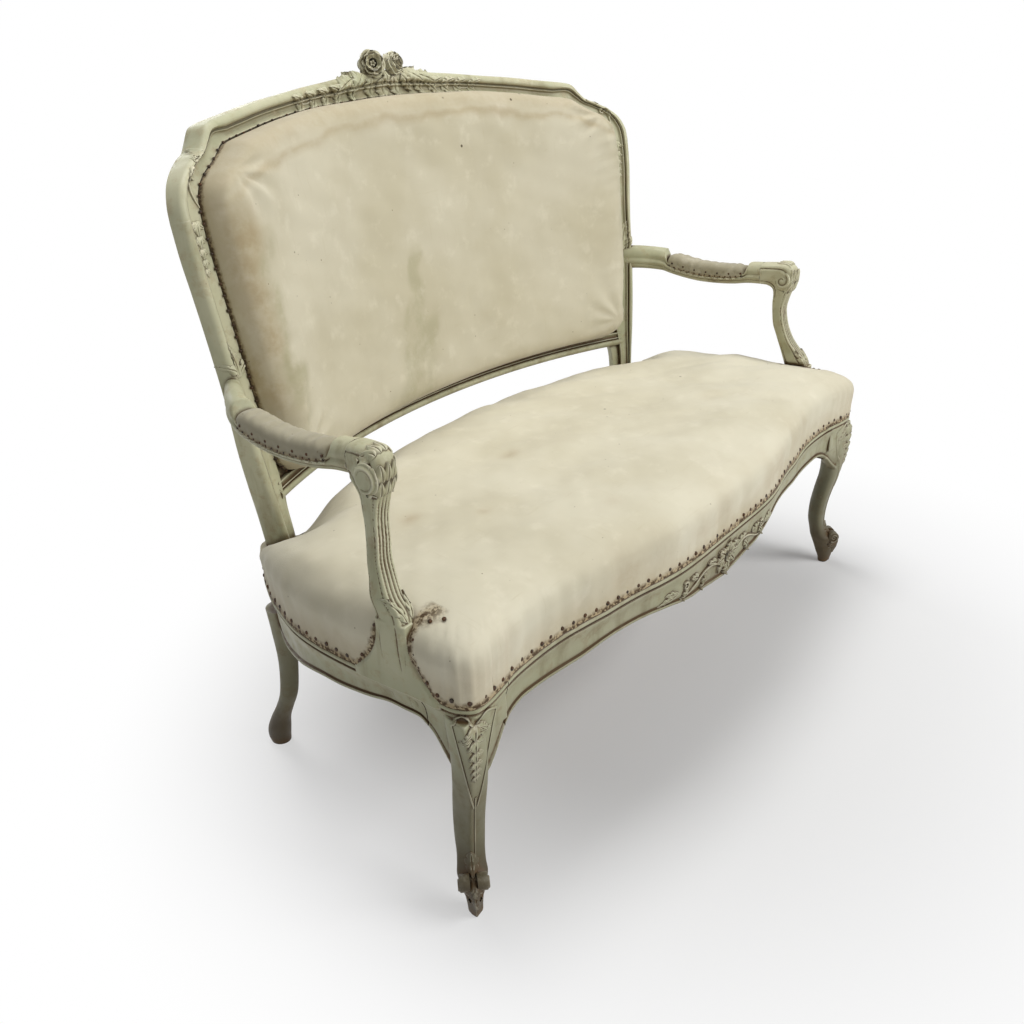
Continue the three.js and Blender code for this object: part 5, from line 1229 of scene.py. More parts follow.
class Finish:
    """A material with a Principled shader, and short calls to build its colour and bump."""

    def __init__(self, name, roughness, specular, sheen=0.0):
        self.material = bpy.data.materials.new(name)
        self.material.use_nodes = True
        self.tree = self.material.node_tree
        self.shader = self.tree.nodes["Principled BSDF"]
        self.shader.inputs["Roughness"].default_value = roughness
        self.shader.inputs["Specular IOR Level"].default_value = specular
        self.shader.inputs["Sheen Weight"].default_value = sheen
        self.shader.inputs["Sheen Roughness"].default_value = 0.5
        self.place = self.node("ShaderNodeTexCoord").outputs["Object"]

    def node(self, kind, inputs=(), **settings):
        return add_node(self.tree, kind, inputs, **settings)

    def noise(self, scale, detail=4.0, roughness=0.55, stretch=(1, 1, 1)):
        place = self.place
        if stretch != (1, 1, 1):
            place = self.node("ShaderNodeMapping", {"Vector": place, "Scale": stretch}).outputs[0]
        return self.node("ShaderNodeTexNoise", {"Vector": place, "Scale": scale, "Detail": detail,
                                                "Roughness": roughness}).outputs["Fac"]

    def ramp(self, value, low, high, to_low=0.0, to_high=1.0):
        return self.node("ShaderNodeMapRange", {"Value": value, "From Min": low, "From Max": high,
                                                "To Min": to_low, "To Max": to_high},
                         interpolation_type="SMOOTHSTEP").outputs[0]

    def math(self, operation, a, b=0.0, clamp=False):
        return self.node("ShaderNodeMath", {0: a, 1: b}, operation=operation, use_clamp=clamp).outputs[0]

    def mix(self, share, a, b):
        a, b = [v if isinstance(v, bpy.types.NodeSocket) else colour(v) for v in (a, b)]
        return self.node("ShaderNodeMix", {0: share, 6: a, 7: b}, data_type="RGBA").outputs[2]

    def attribute(self, name):
        return self.node("ShaderNodeAttribute", attribute_name=name).outputs["Fac"]

    def enclosed(self, distance, samples=8):
        return self.node("ShaderNodeAmbientOcclusion", {"Distance": distance}, samples=samples).outputs["AO"]

    def finish(self, base, height, strength, distance, roughness=None):
        self.tree.links.new(base, self.shader.inputs["Base Color"])
        if roughness is not None:
            self.tree.links.new(roughness, self.shader.inputs["Roughness"])
        bump = self.node("ShaderNodeBump", {"Height": height, "Strength": strength, "Distance": distance})
        self.tree.links.new(bump.outputs[0], self.shader.inputs["Normal"])
        return self.material


def colour(rgb):
    """A display colour, 0 to 255, as the linear colour that a node takes."""
    linear = [(c / 255 / 12.92) if c <= 10 else ((c / 255 + 0.055) / 1.055) ** 2.4 for c in rgb]
    return (*linear, 1.0)


def painted_wood():
    """Old grey-green paint over a dark glaze: worn pale on its edges and brown in its hollows. Painted shade
    darkens its recesses, the wood under its carvings and its downward faces, and, with dirt, its lower parts.
    """
    f = Finish("painted_wood", 0.5, 0.3)
    broad, patch = f.noise(7, 5, 0.6), f.noise(42, 7, 0.68)
    streaks = f.noise(24, 6, 0.6, (1, 1, 0.22))
    speck = f.noise(330, 4, 0.7)
    open_air = f.enclosed(0.009)
    wide_air = f.enclosed(0.045)
    edge = f.attribute("edge")
    base = f.mix(f.ramp(broad, 0.35, 0.66), (190, 187, 157), (170, 170, 138))
    base = f.mix(f.ramp(patch, 0.5, 0.68, 0, 0.55), base, (186, 173, 138))
    base = f.mix(f.ramp(streaks, 0.5, 0.7, 0, 0.55), base, (132, 123, 90))
    level = f.node("ShaderNodeSeparateXYZ", {0: f.place}).outputs[2]
    # Darker towards the floor: dirt on the legs, and painted shade under the seat.
    low = f.math("ADD", level, f.math("MULTIPLY", broad, 0.12))
    base = f.mix(f.ramp(low, 0.5, 0.2, 0, 0.88), base, (88, 84, 62))
    base = f.mix(f.ramp(level, 0.13, 0.05, 0, 0.8), base, (62, 48, 31))
    # Painted shade: faces that turn downwards are browner.
    up = f.node("ShaderNodeSeparateXYZ", {0: f.node("ShaderNodeNewGeometry").outputs["Normal"]}).outputs[2]
    base = f.mix(f.ramp(up, 0.1, -0.8, 0, 0.4), base, (120, 104, 70))
    # Dark glaze in the grooves, mixed with painted shade from occlusion in recesses, under the carvings,
    # where parts meet and under the seat frame.
    glaze_and_shade = f.math("ADD", f.ramp(open_air, 0.97, 0.55, 0, 1.15), f.ramp(edge, -0.05, -0.3, 0, 0.8))
    glaze_and_shade = f.math("ADD", glaze_and_shade, f.ramp(wide_air, 0.8, 0.3, 0, 0.3))
    glaze_and_shade = f.math("ADD", glaze_and_shade, f.ramp(patch, 0.45, 0.7, -0.12, 0.25), clamp=True)
    low_air = f.math("MULTIPLY", f.ramp(f.enclosed(0.02), 0.97, 0.6, 0, 0.9), f.ramp(level, 0.46, 0.38))
    glaze_and_shade = f.math("ADD", glaze_and_shade, low_air, clamp=True)
    # Glaze, dirt and painted shade are weaker up on the crest and full low down.
    dirt_and_shade_low = f.ramp(level, 0.95, 0.5, 0.5, 1.0)
    base = f.mix(f.math("MULTIPLY", glaze_and_shade, dirt_and_shade_low), base, (84, 65, 40))
    # Painted shade with some glaze in the deepest recesses.
    deep = f.math("MULTIPLY", f.ramp(open_air, 0.65, 0.3, 0, 0.9), dirt_and_shade_low)
    base = f.mix(deep, base, (46, 33, 20))
    worn = f.math("ADD", f.ramp(edge, 0.1, 0.5), f.ramp(patch, 0.45, 0.75, -0.5, 0.3), clamp=True)
    base = f.mix(f.math("MULTIPLY", worn, f.ramp(level, 0.12, 0.5, 0.3, 0.7)), base, (219, 214, 190))
    chips = f.math("MULTIPLY", f.ramp(speck, 0.66, 0.7), f.ramp(patch, 0.5, 0.62), clamp=True)
    base = f.mix(f.math("MULTIPLY", chips, 0.75), base, (92, 70, 43))
    height = f.math("ADD", f.math("MULTIPLY", patch, 1.2), f.math("MULTIPLY", speck, 0.5))
    height = f.math("ADD", height, f.math("MULTIPLY", f.noise(120, 3, 0.5, (1, 1, 0.12)), 0.6))
    return f.finish(base, height, 0.55, 0.45 * mm, f.ramp(patch, 0.3, 0.7, 0.4, 0.62))


def bare_wood():
    """Unpainted beech under the cloth: straight grain, dusty, dark with age, and with painted shade in its
    corners.
    """
    f = Finish("bare_wood", 0.72, 0.25)
    grain = f.noise(30, 8, 0.62, (0.12, 1, 1))
    fine = f.noise(300, 4, 0.6, (0.08, 1, 1))
    base = f.mix(f.ramp(grain, 0.35, 0.68), (158, 126, 84), (120, 90, 56))
    base = f.mix(f.ramp(fine, 0.5, 0.75, 0, 0.5), base, (88, 62, 38))
    base = f.mix(f.ramp(f.noise(9, 4), 0.5, 0.75, 0, 0.4), base, (176, 156, 122))
    # Painted shade in corners and where parts meet.
    base = f.mix(f.ramp(f.enclosed(0.02), 0.9, 0.4, 0, 0.6), base, (62, 44, 28))
    return f.finish(base, f.math("ADD", grain, f.math("MULTIPLY", fine, 0.5)), 0.5, 0.4 * mm)


def weave(f, pitch):
    """Height of a plain weave: two sets of threads over and under each other."""
    apart = f.node("ShaderNodeSeparateXYZ", {0: f.place}).outputs
    around = math.tau / pitch / 2
    along = f.math("SINE", f.math("MULTIPLY", apart[0], around))
    depth = f.math("ADD", apart[1], apart[2])
    across = f.math("SINE", f.math("MULTIPLY", depth, around))
    return f.math("MULTIPLY", along, across)


def calico(name, base_rgb, dark_rgb, brown_rgb):
    """Unbleached cotton with a fine weave, specks of seed husk and stains where it has been wet. Painted
    shade darkens its creases and where it meets the wood, and the brown of the seat's front wall is partly
    painted shade.
    """
    f = Finish(name, 0.93, 0.12, 0.18)
    broad, patch = f.noise(5, 4), f.noise(26, 6, 0.62)
    slub = f.noise(190, 3, 0.6, (0.08, 1, 1))
    slub_up = f.noise(190, 3, 0.6, (1, 0.08, 0.08))
    base = f.mix(f.ramp(broad, 0.36, 0.66), base_rgb, dark_rgb)
    base = f.mix(f.ramp(patch, 0.52, 0.74, 0, 0.3), base, (226, 220, 200))
    base = f.mix(f.ramp(f.math("MAXIMUM", slub, slub_up), 0.6, 0.78, 0, 0.28), base, (188, 178, 148))
    # Brown mask: real stains, and on the seat's front wall partly painted shade.
    brown = f.math("MULTIPLY", f.attribute("brown"), f.ramp(patch, 0.3, 0.62, 0.45, 1.0), clamp=True)
    base = f.mix(brown, base, brown_rgb)
    frayed = f.math("MULTIPLY", f.attribute("hem"), f.ramp(f.noise(170, 4, 0.6), 0.42, 0.56), clamp=True)
    base = f.mix(f.math("MULTIPLY", f.attribute("hem"), 0.6), base, (158, 134, 92))
    base = f.mix(f.math("MULTIPLY", frayed, 0.95), base, (70, 51, 31))
    mottle = f.ramp(f.noise(18, 6, 0.65), 0.35, 0.6, 0.25, 1.0)
    olive = f.math("MULTIPLY", f.attribute("olive"), mottle, clamp=True)
    base = f.mix(f.math("MULTIPLY", olive, 0.8), base, (142, 138, 98))
    for scale, size, strength, rgb in ((70.0, 0.1, 0.7, (104, 84, 58)), (24.0, 0.075, 0.85, (74, 60, 40))):
        speck = f.node("ShaderNodeTexVoronoi", {"Vector": f.place, "Scale": scale, "Randomness": 1.0})
        dots = f.ramp(speck.outputs["Distance"], size, size * 0.6)
        chosen = f.ramp(f.noise(scale * 0.55, 2), 0.6, 0.64)
        base = f.mix(f.math("MULTIPLY", dots, f.math("MULTIPLY", chosen, strength)), base, rgb)
    # Painted shade in creases and where the cloth meets the wood.
    base = f.mix(f.ramp(f.enclosed(0.014), 0.9, 0.35, 0, 0.55), base, (120, 102, 74))
    threads = weave(f, 0.9 * mm)
    slubs = f.math("MULTIPLY", f.math("ADD", slub, slub_up), 0.7)
    height = f.math("ADD", f.math("MULTIPLY", threads, 0.55), slubs)
    height = f.math("ADD", height, f.math("MULTIPLY", patch, 1.6))
    return f.finish(base, height, 0.4, 0.35 * mm)


def hessian():
    """Coarse open jute cloth."""
    f = Finish("hessian", 0.95, 0.1, 0.1)
    threads = weave(f, 2.6 * mm)
    base = f.mix(f.ramp(threads, -0.8, 0.8), (92, 72, 44), (164, 138, 96))
    base = f.mix(f.ramp(f.noise(30, 6), 0.45, 0.7, 0, 0.5), base, (132, 106, 70))
    return f.finish(base, threads, 0.7, 0.5 * mm)


def webbing():
    """Close-woven jute straps with a darker line along each edge."""
    f = Finish("webbing", 0.9, 0.15, 0.1)
    threads = weave(f, 1.7 * mm)
    base = f.mix(f.ramp(threads, -0.8, 0.8), (134, 112, 76), (188, 168, 126))
    base = f.mix(f.ramp(f.attribute("border"), 0.4, 0.6, 0, 0.75), base, (96, 62, 40))
    base = f.mix(f.ramp(f.noise(22, 6), 0.5, 0.72, 0, 0.4), base, (146, 128, 96))
    return f.finish(base, threads, 0.6, 0.4 * mm)


def iron(name, rgb, rust_rgb):
    f = Finish(name, 0.5, 0.4)
    f.shader.inputs["Metallic"].default_value = 0.55
    patch = f.noise(160, 5, 0.6)
    base = f.mix(f.ramp(patch, 0.4, 0.62), rgb, rust_rgb)
    return f.finish(base, patch, 0.5, 0.2 * mm, f.ramp(patch, 0.35, 0.65, 0.4, 0.75))


def pad_hem(mesh):
    """How close each point of an arm pad is to its tacked edge, from 0 to 1."""
    points = seat_points(mesh)
    _, _, top, bottom, _ = arm_at(np.clip(points[:, 1] / seat_depth, pad_front, pad_rear))
    level = (points[:, 2] - bottom) / (top - bottom)
    return np.clip((pad_seat_share - 0.09 - level) / 0.05, 0, 1)


# Straps and sheets under the cloth
def strap(line, across):
    """A woven strap: a line of middle points with a way across at each, and its border mask."""
    line, across = np.asarray(line, float), np.asarray(across, float)
    v = np.array(strap_places_across)
    normal = unit(np.cross(unit(np.gradient(line, axis=0)), across))
    swell = 1 - 0.5 * (np.abs(v) > 0.95)
    middle = line[:, None] + across[:, None] * (v * (strap_width / 2))[:, None]
    lift = normal[:, None] * (swell * web_thickness / 2)[:, None]
    body = outward(loft(np.concatenate([middle + lift, (middle - lift)[:, ::-1]], 1)))
    border = np.tile(np.concatenate([v, v[::-1]]), len(line))
    return body, (np.abs(border) > 0.7) & (np.abs(border) < 0.95)


strap_places_across = [-1, -0.92, -0.86, -0.5, 0, 0.5, 0.86, 0.92, 1.0]
web_thickness = 1.8 * mm
web_level = wood_top + gap + web_thickness / 2
web_places = np.arange(-3, 4) * 0.135
back_web_places = np.arange(-1, 2) * 0.230
back_web_level = rebate_depth - 3 * gap - web_thickness / 2


def over_and_under(x, crossed, first, reach):
    """Lift of a strap, at places along it, over and under the straps that it crosses."""
    lift = np.zeros(len(x))
    for i, at in enumerate(crossed):
        lift += first * (-1) ** i * np.clip(reach - np.abs(x - at) / 0.029, 0, 1) ** 0.8
    return lift * (web_thickness + gap)


def long_web(x):
    inset = rail_thickness / 3 + ledge
    front = float(seat_place(place_across(max(abs(x) - strap_width / 2, 0)))[0][1]) + inset
    rear = float(seat_place(place_rear(abs(x) + strap_width / 2))[0][1]) - inset
    y = np.linspace(front, rear, 120)
    crossings = sum(np.exp(-((y - s * seat_depth) / 0.03) ** 2) for s in web_cross_shares)
    sag = -0.9 * mm * np.sin((y - front) / (rear - front) * math.pi)
    line = np.stack([np.full(len(y), x), y, web_level + sag * (1 - crossings.clip(0, 1))], -1)
    return strap(line, np.tile(rightward, (len(y), 1)))


def cross_web(y):
    reach = float(seat_place(place_side(y))[0][0]) - rail_thickness / 3 - ledge - 0.006
    x = np.linspace(-reach, reach, 320)
    level = web_level + over_and_under(x, web_places, 1, 1.6)
    line = np.stack([x, np.full(len(x), y), level], -1)
    return strap(line, np.tile([0, 1.0, 0], (len(x), 1)))


def upright_web(x):
    line = back_line()
    near = np.abs(line[:, 0] - x) < 0.03
    low, high = line[near, 1].min() + 0.006, line[near, 1].max() - 0.006
    z = np.linspace(low, high, 110)
    points = back_point(np.full(len(z), x), z, back_web_level)
    beside = back_point(np.full(len(z), x + 0.01), z, back_web_level)
    return strap(points, unit(beside - points))


def back_cross_web(z):
    _, inner = stile_edges(np.array([z]))
    reach = inner[0, 0] + stile_width / 6
    x = np.linspace(-reach, reach, 260)
    behind = back_web_level + over_and_under(x, back_web_places, -1, 1.7)
    points = back_point(x, np.full(len(x), z), behind)
    above = back_point(x, np.full(len(x), z + 0.01), behind)
    return strap(points, unit(above - points))


def cloth_span(x):
    """Lowest and highest point of the back's cloth line at places across."""
    line = back_line()
    right = line[line[:, 0] > -1e-9]
    order = np.argsort(np.arctan2(right[:, 1] - 0.74, right[:, 0]))
    right = right[order]
    widest = np.argmax(right[:, 0])
    low, high = right[:widest + 1], right[widest:]
    low, high = low[np.argsort(low[:, 0])], high[np.argsort(high[:, 0])]
    x = np.abs(x)
    return np.interp(x, low[:, 0], low[:, 1]), np.interp(x, high[:, 0], high[:, 1])


def back_sheet(front, thickness, edge, columns_half, rows, fullness):
    """A sheet stretched over the back, as a grid with two faces."""
    widest = back_line()[:, 0].max()
    x = np.linspace(-1, 1, 2 * columns_half + 1)
    x = np.sign(x) * (1 - (1 - np.abs(x)) ** 1.25) * (widest - edge)
    low, high = cloth_span(np.minimum(np.abs(x) + edge * 0.5, widest))
    share = np.linspace(0, 1, rows)[:, None]
    z = (low + edge) + (high - low - 2 * edge) * share
    xs = np.broadcast_to(x, z.shape)
    flat = np.stack([xs.ravel(), z.ravel()], -1)
    bow = (waves(flat, 0.16, 41) * 1.4 + waves(flat, 0.05, 42) * 0.4).reshape(z.shape) * fullness
    rim = np.minimum(np.minimum(share, 1 - share) * 8, 1) * np.minimum((widest - np.abs(xs)) * 12, 1)
    behind = front + bow * rim.clip(0, 1)
    outside = back_point(xs, z, behind + thickness)
    inside = back_point(xs, z, behind)
    points = np.concatenate([outside.reshape(-1, 3), inside.reshape(-1, 3)])
    count = len(x)
    faces = []
    for r in range(rows - 1):
        for c in range(count - 1):
            a = r * count + c
            faces.append([a, a + 1, a + count + 1, a + count])
            b = a + rows * count
            faces.append([b, b + count, b + count + 1, b + 1])
    rim_points = ([c for c in range(count)] + [r * count + count - 1 for r in range(1, rows)]
                  + [(rows - 1) * count + c for c in range(count - 2, -1, -1)]
                  + [r * count for r in range(rows - 2, 0, -1)])
    for i, a in enumerate(rim_points):
        b = rim_points[(i + 1) % len(rim_points)]
        faces.append([b, a, a + rows * count, b + rows * count])
    return outward((points, faces))


paint = painted_wood()
timber = bare_wood()
seat_calico = calico("seat_calico", (210, 204, 182), (199, 192, 168), (164, 144, 110))
back_calico = calico("back_calico", (202, 195, 172), (192, 184, 158), (158, 138, 100))
arm_calico = calico("arm_calico", (170, 163, 140), (152, 145, 122), (116, 98, 70))
outer_calico = calico("outer_calico", (204, 194, 166), (190, 178, 146), (140, 112, 76))
jute = hessian()
straps = webbing()
tack_iron = iron("tack_iron", (58, 50, 42), (84, 58, 38))
screw_steel = iron("screw_steel", (112, 108, 100), (120, 86, 58))

# Every CAD piece gets a finish. The rear rail, brace, corner blocks, dowels and screws stay in
# sight, and the others are hidden under the pieces that replace them.
for node_name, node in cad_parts.items():
    node.data.materials.clear()
    node.data.materials.append(screw_steel if "screw" in node_name else timber)
    if "screw" not in node_name:
        store_edges(node.data)


# Front legs, with their knees
def knee_carving(tree):
    """Shield with a drop of bellflowers on the knee, and a leaf between two volutes on the foot."""
    lean = -0.055
    corner = np.array([0.602, 0.036, 0.327])
    drawn = []
    t = np.linspace(0, 1, 30)
    for way in (-1, 1):
        arc = np.stack([way * (0.002 + 0.028 * t), 0.013 * np.sin(math.pi * t)], -1)
        side = np.stack([way * (0.030 - 0.0275 * t ** 0.95), -0.142 * t], -1)
        for path, wide, rise in ((arc, 3.2, 2.6), (side, 2.6, 2.0)):
            drawn.append(tapered(path, wide, wide, rise * mm))
        for turn, at in ((0.5, 0.004), (0.9, -0.008)):
            body = leaf(0.02, 0.010, 3, 3.6 * mm, curl=2 * mm, bend=0.4)
            drawn.append(moved(body, way * 0.004, at - 0.004, math.pi - way * turn, flip=way > 0))
    drawn.append(moved(husks(6, 0.0225, 0.029, 7.5 * mm, 0.86), 0, 0.001))
    low = np.stack([np.zeros(40), -0.12 - 0.14 * np.linspace(0, 1, 40)], -1)
    drawn.append(tapered(low, 3, 1.8, 1.8 * mm))
    parts = [carve(tree, moved(merge(drawn), turn=lean), corner, corner_right, upward)]
    coil = tapered(spiral((0, 0), 1.5 * mm, 10.8 * mm, 1.75, 0.6), 2.4, 4.2, 2.6 * mm, 5 * mm)
    roll = merge([disc(0.0122, 2.6 * mm, 12 * mm), moved(coil, lift=2.2 * mm)])
    for way in (-1, 1):
        side = unit(corner_right) * way
        centre = front_foot + unit(corner_out) * 0.009 + side * 0.0172 + [0, 0, 0.064]
        parts.append(facing(moved(roll, flip=way < 0), centre, side))
    foot = front_foot + [0.018, -0.018, 0.07]
    for turn, size, at in ((0.0, 1.0, 0.0), (0.5, 0.85, 0.004), (-0.5, 0.85, -0.004)):
        frond = leaf(0.05 * size, 0.022 * size, 4, 6 * mm, curl=3 * mm, bend=0.2)
        frond = moved(frond, at, 0, math.pi + turn, flip=turn < 0)
        parts.append(carve(tree, frond, foot, corner_right, upward))
    parts.append(carve(tree, leaf(0.03, 0.02, 3, 4.4 * mm, curl=2 * mm), foot, corner_right, upward))
    return parts


def front_leg_piece():
    post = box_body([front_shoulder, 0.045, seat_height - 0.06], [0.6, side_shoulder, wood_top])
    shape = fuse(merge([front_leg_body(), knee_body(), post]), 1.5 * mm, 3)
    return merge([shape, *knee_carving(tree_of(shape))])


make_pair("carved_front_leg", front_leg_piece(), paint, ["front_leg"], fused_sharp)


# Rear posts: leg, block and stile in one length of wood
def stile_carving(tree):
    """A drop of bellflowers high on the stile, and a sprig with a small drop halfway up."""
    outer, inner = stile_edges(np.array([0.868, 0.67]))
    high, low = [back_point(*(o + (i - o) * s)) for o, i, s in zip(outer, inner, (0.4, 0.36))]
    sprig = merge([moved(leaf(0.056, 0.018, 4, 3.8 * mm, bend=0.35), 0, 0, 0.1),
                   moved(leaf(0.038, 0.015, 3, 3.4 * mm, bend=0.8), 0.003, 0, 0.6),
                   moved(leaf(0.036, 0.014, 3, 3.4 * mm, bend=0.8), -0.003, 0, -0.5, flip=True)])
    small_drop = moved(husks(3, 0.018, 0.016, 2.2 * mm), 0, 0, math.pi)
    return [carve(tree, husks(5, 0.021, 0.026, 4.4 * mm, 0.86), high + [0, 0, 0.016], rightward, upward),
            carve(tree, sprig, low, rightward, upward),
            carve(tree, small_drop, low - [0, 0, 0.004], rightward, upward)]


stile = stile_body()
post = merge([rear_leg_body(), rear_corner_body(), stile, *stile_carving(tree_of(stile))])
make_pair("carved_rear_post", post, paint, ["rear_post"], carved_sharp)


# Rails
def rail_frame(s, z):
    """Where to look at the front rail from: its place, and the drawing's right and up."""
    point, along, _ = seat_place(np.array([0.5 - s / outline_length]))
    return np.array([*point[0], z]), np.array([*-along[0], 0.0]), upward


def front_rail_carving(tree):
    """Cartouche in the middle, C-scrolls with leaves beside it, and running sprays."""
    parts = []
    side_leaf = leaf(0.033, 0.019, 3, 5.2 * mm, curl=3 * mm, bend=0.5)
    middle = merge([
        moved(leaf(0.032, 0.026, 4, 6 * mm, curl=4 * mm), 0, -0.004, math.pi),
        moved(leaf(0.028, 0.022, 3, 5.4 * mm, curl=3 * mm), 0, 0.002, 0),
        *[moved(side_leaf, way * 0.004, 0.0, way * turn, flip=way < 0)
          for way in (-1, 1) for turn in (0.75, 1.35, 2.05)],
        *[moved(petal(turn, 0.009, 0.5, 1 * mm, 3.5 * mm, 1 * mm, 3 * mm), 0, -0.001, 0, lift=3 * mm)
          for turn in np.arange(6) * math.tau / 6],
    ])
    parts.append(carve(tree, middle, *rail_frame(0.0, 0.303)))
    for way in (-1, 1):
        place = rail_frame(way * 0.075, 0.302)
        stem_t = np.linspace(0, 1, 40)
        stem = np.stack([way * (-0.05 + 0.118 * stem_t), 0.011 * np.sin(stem_t * math.pi * 1.6) - 0.004], -1)
        parts.append(carve(tree, tapered(stem, 7, 2.4, 4.2 * mm), *place))
        curl = spiral((way * 0.056, 0.004), 1.5 * mm, 9 * mm, 1.3, 0.4)
        parts.append(carve(tree, tapered(curl, 2.6, 5, 4 * mm), *place))
        leaves = merge([moved(leaf(0.034 - 0.004 * k, 0.015, 3, 4.4 * mm, curl=2.5 * mm, bend=0.6),
                              way * (-0.04 + 0.03 * k), -0.002 if k % 2 else 0.003,
                              way * (2.2 if k % 2 else 0.9), flip=way < 0) for k in range(4)])
        parts.append(carve(tree, leaves, *place))
        tail = merge([moved(leaf(0.05, 0.014, 5, 3.6 * mm, bend=0.25), 0, 0, way * 1.55, flip=way < 0),
                      moved(leaf(0.03, 0.011, 3, 3.4 * mm, bend=0.7), way * 0.006, 0, way * 0.95,
                            flip=way < 0)])
        parts.append(carve(tree, tail, *rail_frame(way * 0.15, 0.302)))
    return parts


rail = front_rail_body()
make("carved_front_rail", merge([rail, *front_rail_carving(tree_of(rail))]), paint,
     ["front_rail"])
make_pair("carved_side_rail", side_rail_body(), paint, ["side_rail"])


# Crest rail with its roses and leaves, and the rail under the back
def half_ball(radius):
    """The rounded back of a rose."""
    angle = np.linspace(0, math.tau, 30, endpoint=False)
    ball = [np.stack([np.cos(angle) * math.cos(h), np.sin(angle) * math.cos(h),
                      np.full(len(angle), math.sin(h) * 0.8)], -1) for h in np.linspace(-1.5, 0.0, 8)]
    return outward(loft(np.array(ball) * radius * 0.9))


def crest_carving(tree):
    """Two roses among leaves in the middle, a spray on each side, and a scroll on each ear."""
    def look(x, z):
        return back_point(x, z), rightward, upward

    parts = []
    for x, z, radius, open_heart, way in ((-0.021, 1.0575, 0.0235, True, (-0.55, -1.0, 0.25)),
                                          (0.026, 1.0565, 0.0205, False, (0.3, -1.0, 0.3))):
        centre = back_point(x, z) + unit(np.array(way)) * 0.004
        parts.append(facing(moved(rose(radius, open_heart, 3 + int(open_heart)), lift=3 * mm), centre, way))
        parts.append(facing(half_ball(radius), centre, way))
    for x, z, turn, size, lobes in (
            (-0.034, 1.038, -2.8, 1.05, 4), (-0.008, 1.036, 3.05, 1.25, 5), (0.018, 1.038, 2.75, 1.1, 4),
            (0.04, 1.04, 2.35, 0.95, 3), (-0.05, 1.044, -2.1, 1.15, 4), (-0.054, 1.052, -1.45, 1.1, 4),
            (0.05, 1.046, 1.85, 1.2, 4), (0.05, 1.056, 1.25, 0.95, 3), (-0.078, 1.038, -1.75, 1.2, 4),
            (-0.074, 1.03, -2.5, 0.85, 3), (0.078, 1.038, 1.75, 1.2, 4), (0.074, 1.03, 2.5, 0.85, 3),
            (-0.002, 1.064, 0.15, 0.7, 3), (0.002, 1.05, -3.1, 0.8, 3)):
        body = leaf(0.036 * size, 0.023 * size, lobes, 6.4 * mm, curl=7 * mm, bend=0.4)
        parts.append(carve(tree, moved(body, 0, 0, turn, flip=turn < 0), *look(x, z)))
    for way in (-1, 1):
        stem_at = np.linspace(0.095, 0.225, 40)
        stem = np.stack([way * (stem_at - 0.15), -0.09 * (stem_at - 0.15) + 0.003 * np.sin(stem_at * 90)], -1)
        parts.append(carve(tree, tapered(stem, 4.5, 1.8, 2.6 * mm), *look(way * 0.15, 1.015)))
        for k, x in enumerate((0.108, 0.138, 0.168, 0.2)):
            z = 1.015 - 0.09 * (x - 0.15)
            for turn, length in ((0.95, 0.03), (2.1, 0.028)):
                body = leaf(length, 0.0155, 3, (6 - 0.6 * k) * mm, curl=3 * mm, bend=0.5)
                parts.append(carve(tree, moved(body, 0, 0, way * turn, flip=way < 0), *look(way * x, z)))
        ear = look(way * 0.496, 0.945)
        coil = spiral((0, 0), 1.6 * mm, 9.5 * mm, 1.4, 2.0 if way < 0 else 1.14)
        if way > 0:
            coil = coil * [-1, 1]
        parts.append(carve(tree, tapered(coil, 2.4, 5, 4.4 * mm), *ear))
        t = np.linspace(0, 1, 30)
        stem = np.stack([way * (0.0095 - 0.002 * t + 0.006 * np.sin(t * math.pi)), -0.045 * t], -1)
        parts.append(carve(tree, tapered(stem, 5, 2, 3.8 * mm), *ear))
        body = leaf(0.03, 0.013, 3, 3.8 * mm, curl=2 * mm, bend=0.5)
        parts.append(carve(tree, moved(body, -way * 0.008, 0.012, -way * 0.9, flip=way > 0), *ear))
    return parts


crest = crest_body()
make("carved_crest_rail", merge([crest, *crest_carving(tree_of(crest))]), paint,
     ["crest_rail"], carved_sharp)
make("moulded_lower_rail", lower_rail_body(), paint, ["back_lower_rail"])


# Arms and their supports
def arm_carving(tree):
    """A line of small leaves along each side of the arm."""
    parts = []
    for way in (-1, 1):
        for run in np.arange(0.02, 0.19, 0.0145):
            back = pad_rear - run / seat_depth
            point, side, top, bottom, width = arm_at(np.array([back]))
            out = np.array([*(side[0] * way), 0.0])
            right = np.cross(upward, out)
            z = bottom[0] + (top[0] - bottom[0]) * 0.33
            place = np.array([*point[0], z]) + out * width[0] * 0.5
            body = leaf(0.0135, 0.0085, 3, 1.7 * mm)
            parts.append(carve(tree, moved(body, 0, 0, way * math.pi / 2), place, right, upward, 0.03))
    return parts


arm = arm_body()
make_pair("carved_arm", merge([arm, *arm_carving(tree_of(arm))]), paint, ["arm"],
          carved_sharp)
pads = make_pair("padded_arm", arm_pad_body(), arm_calico, ["arm_cover", "arm_pad"],
                 pad_sharp)
make_pair("arm_tacks", arm_nails(), tack_iron, [])


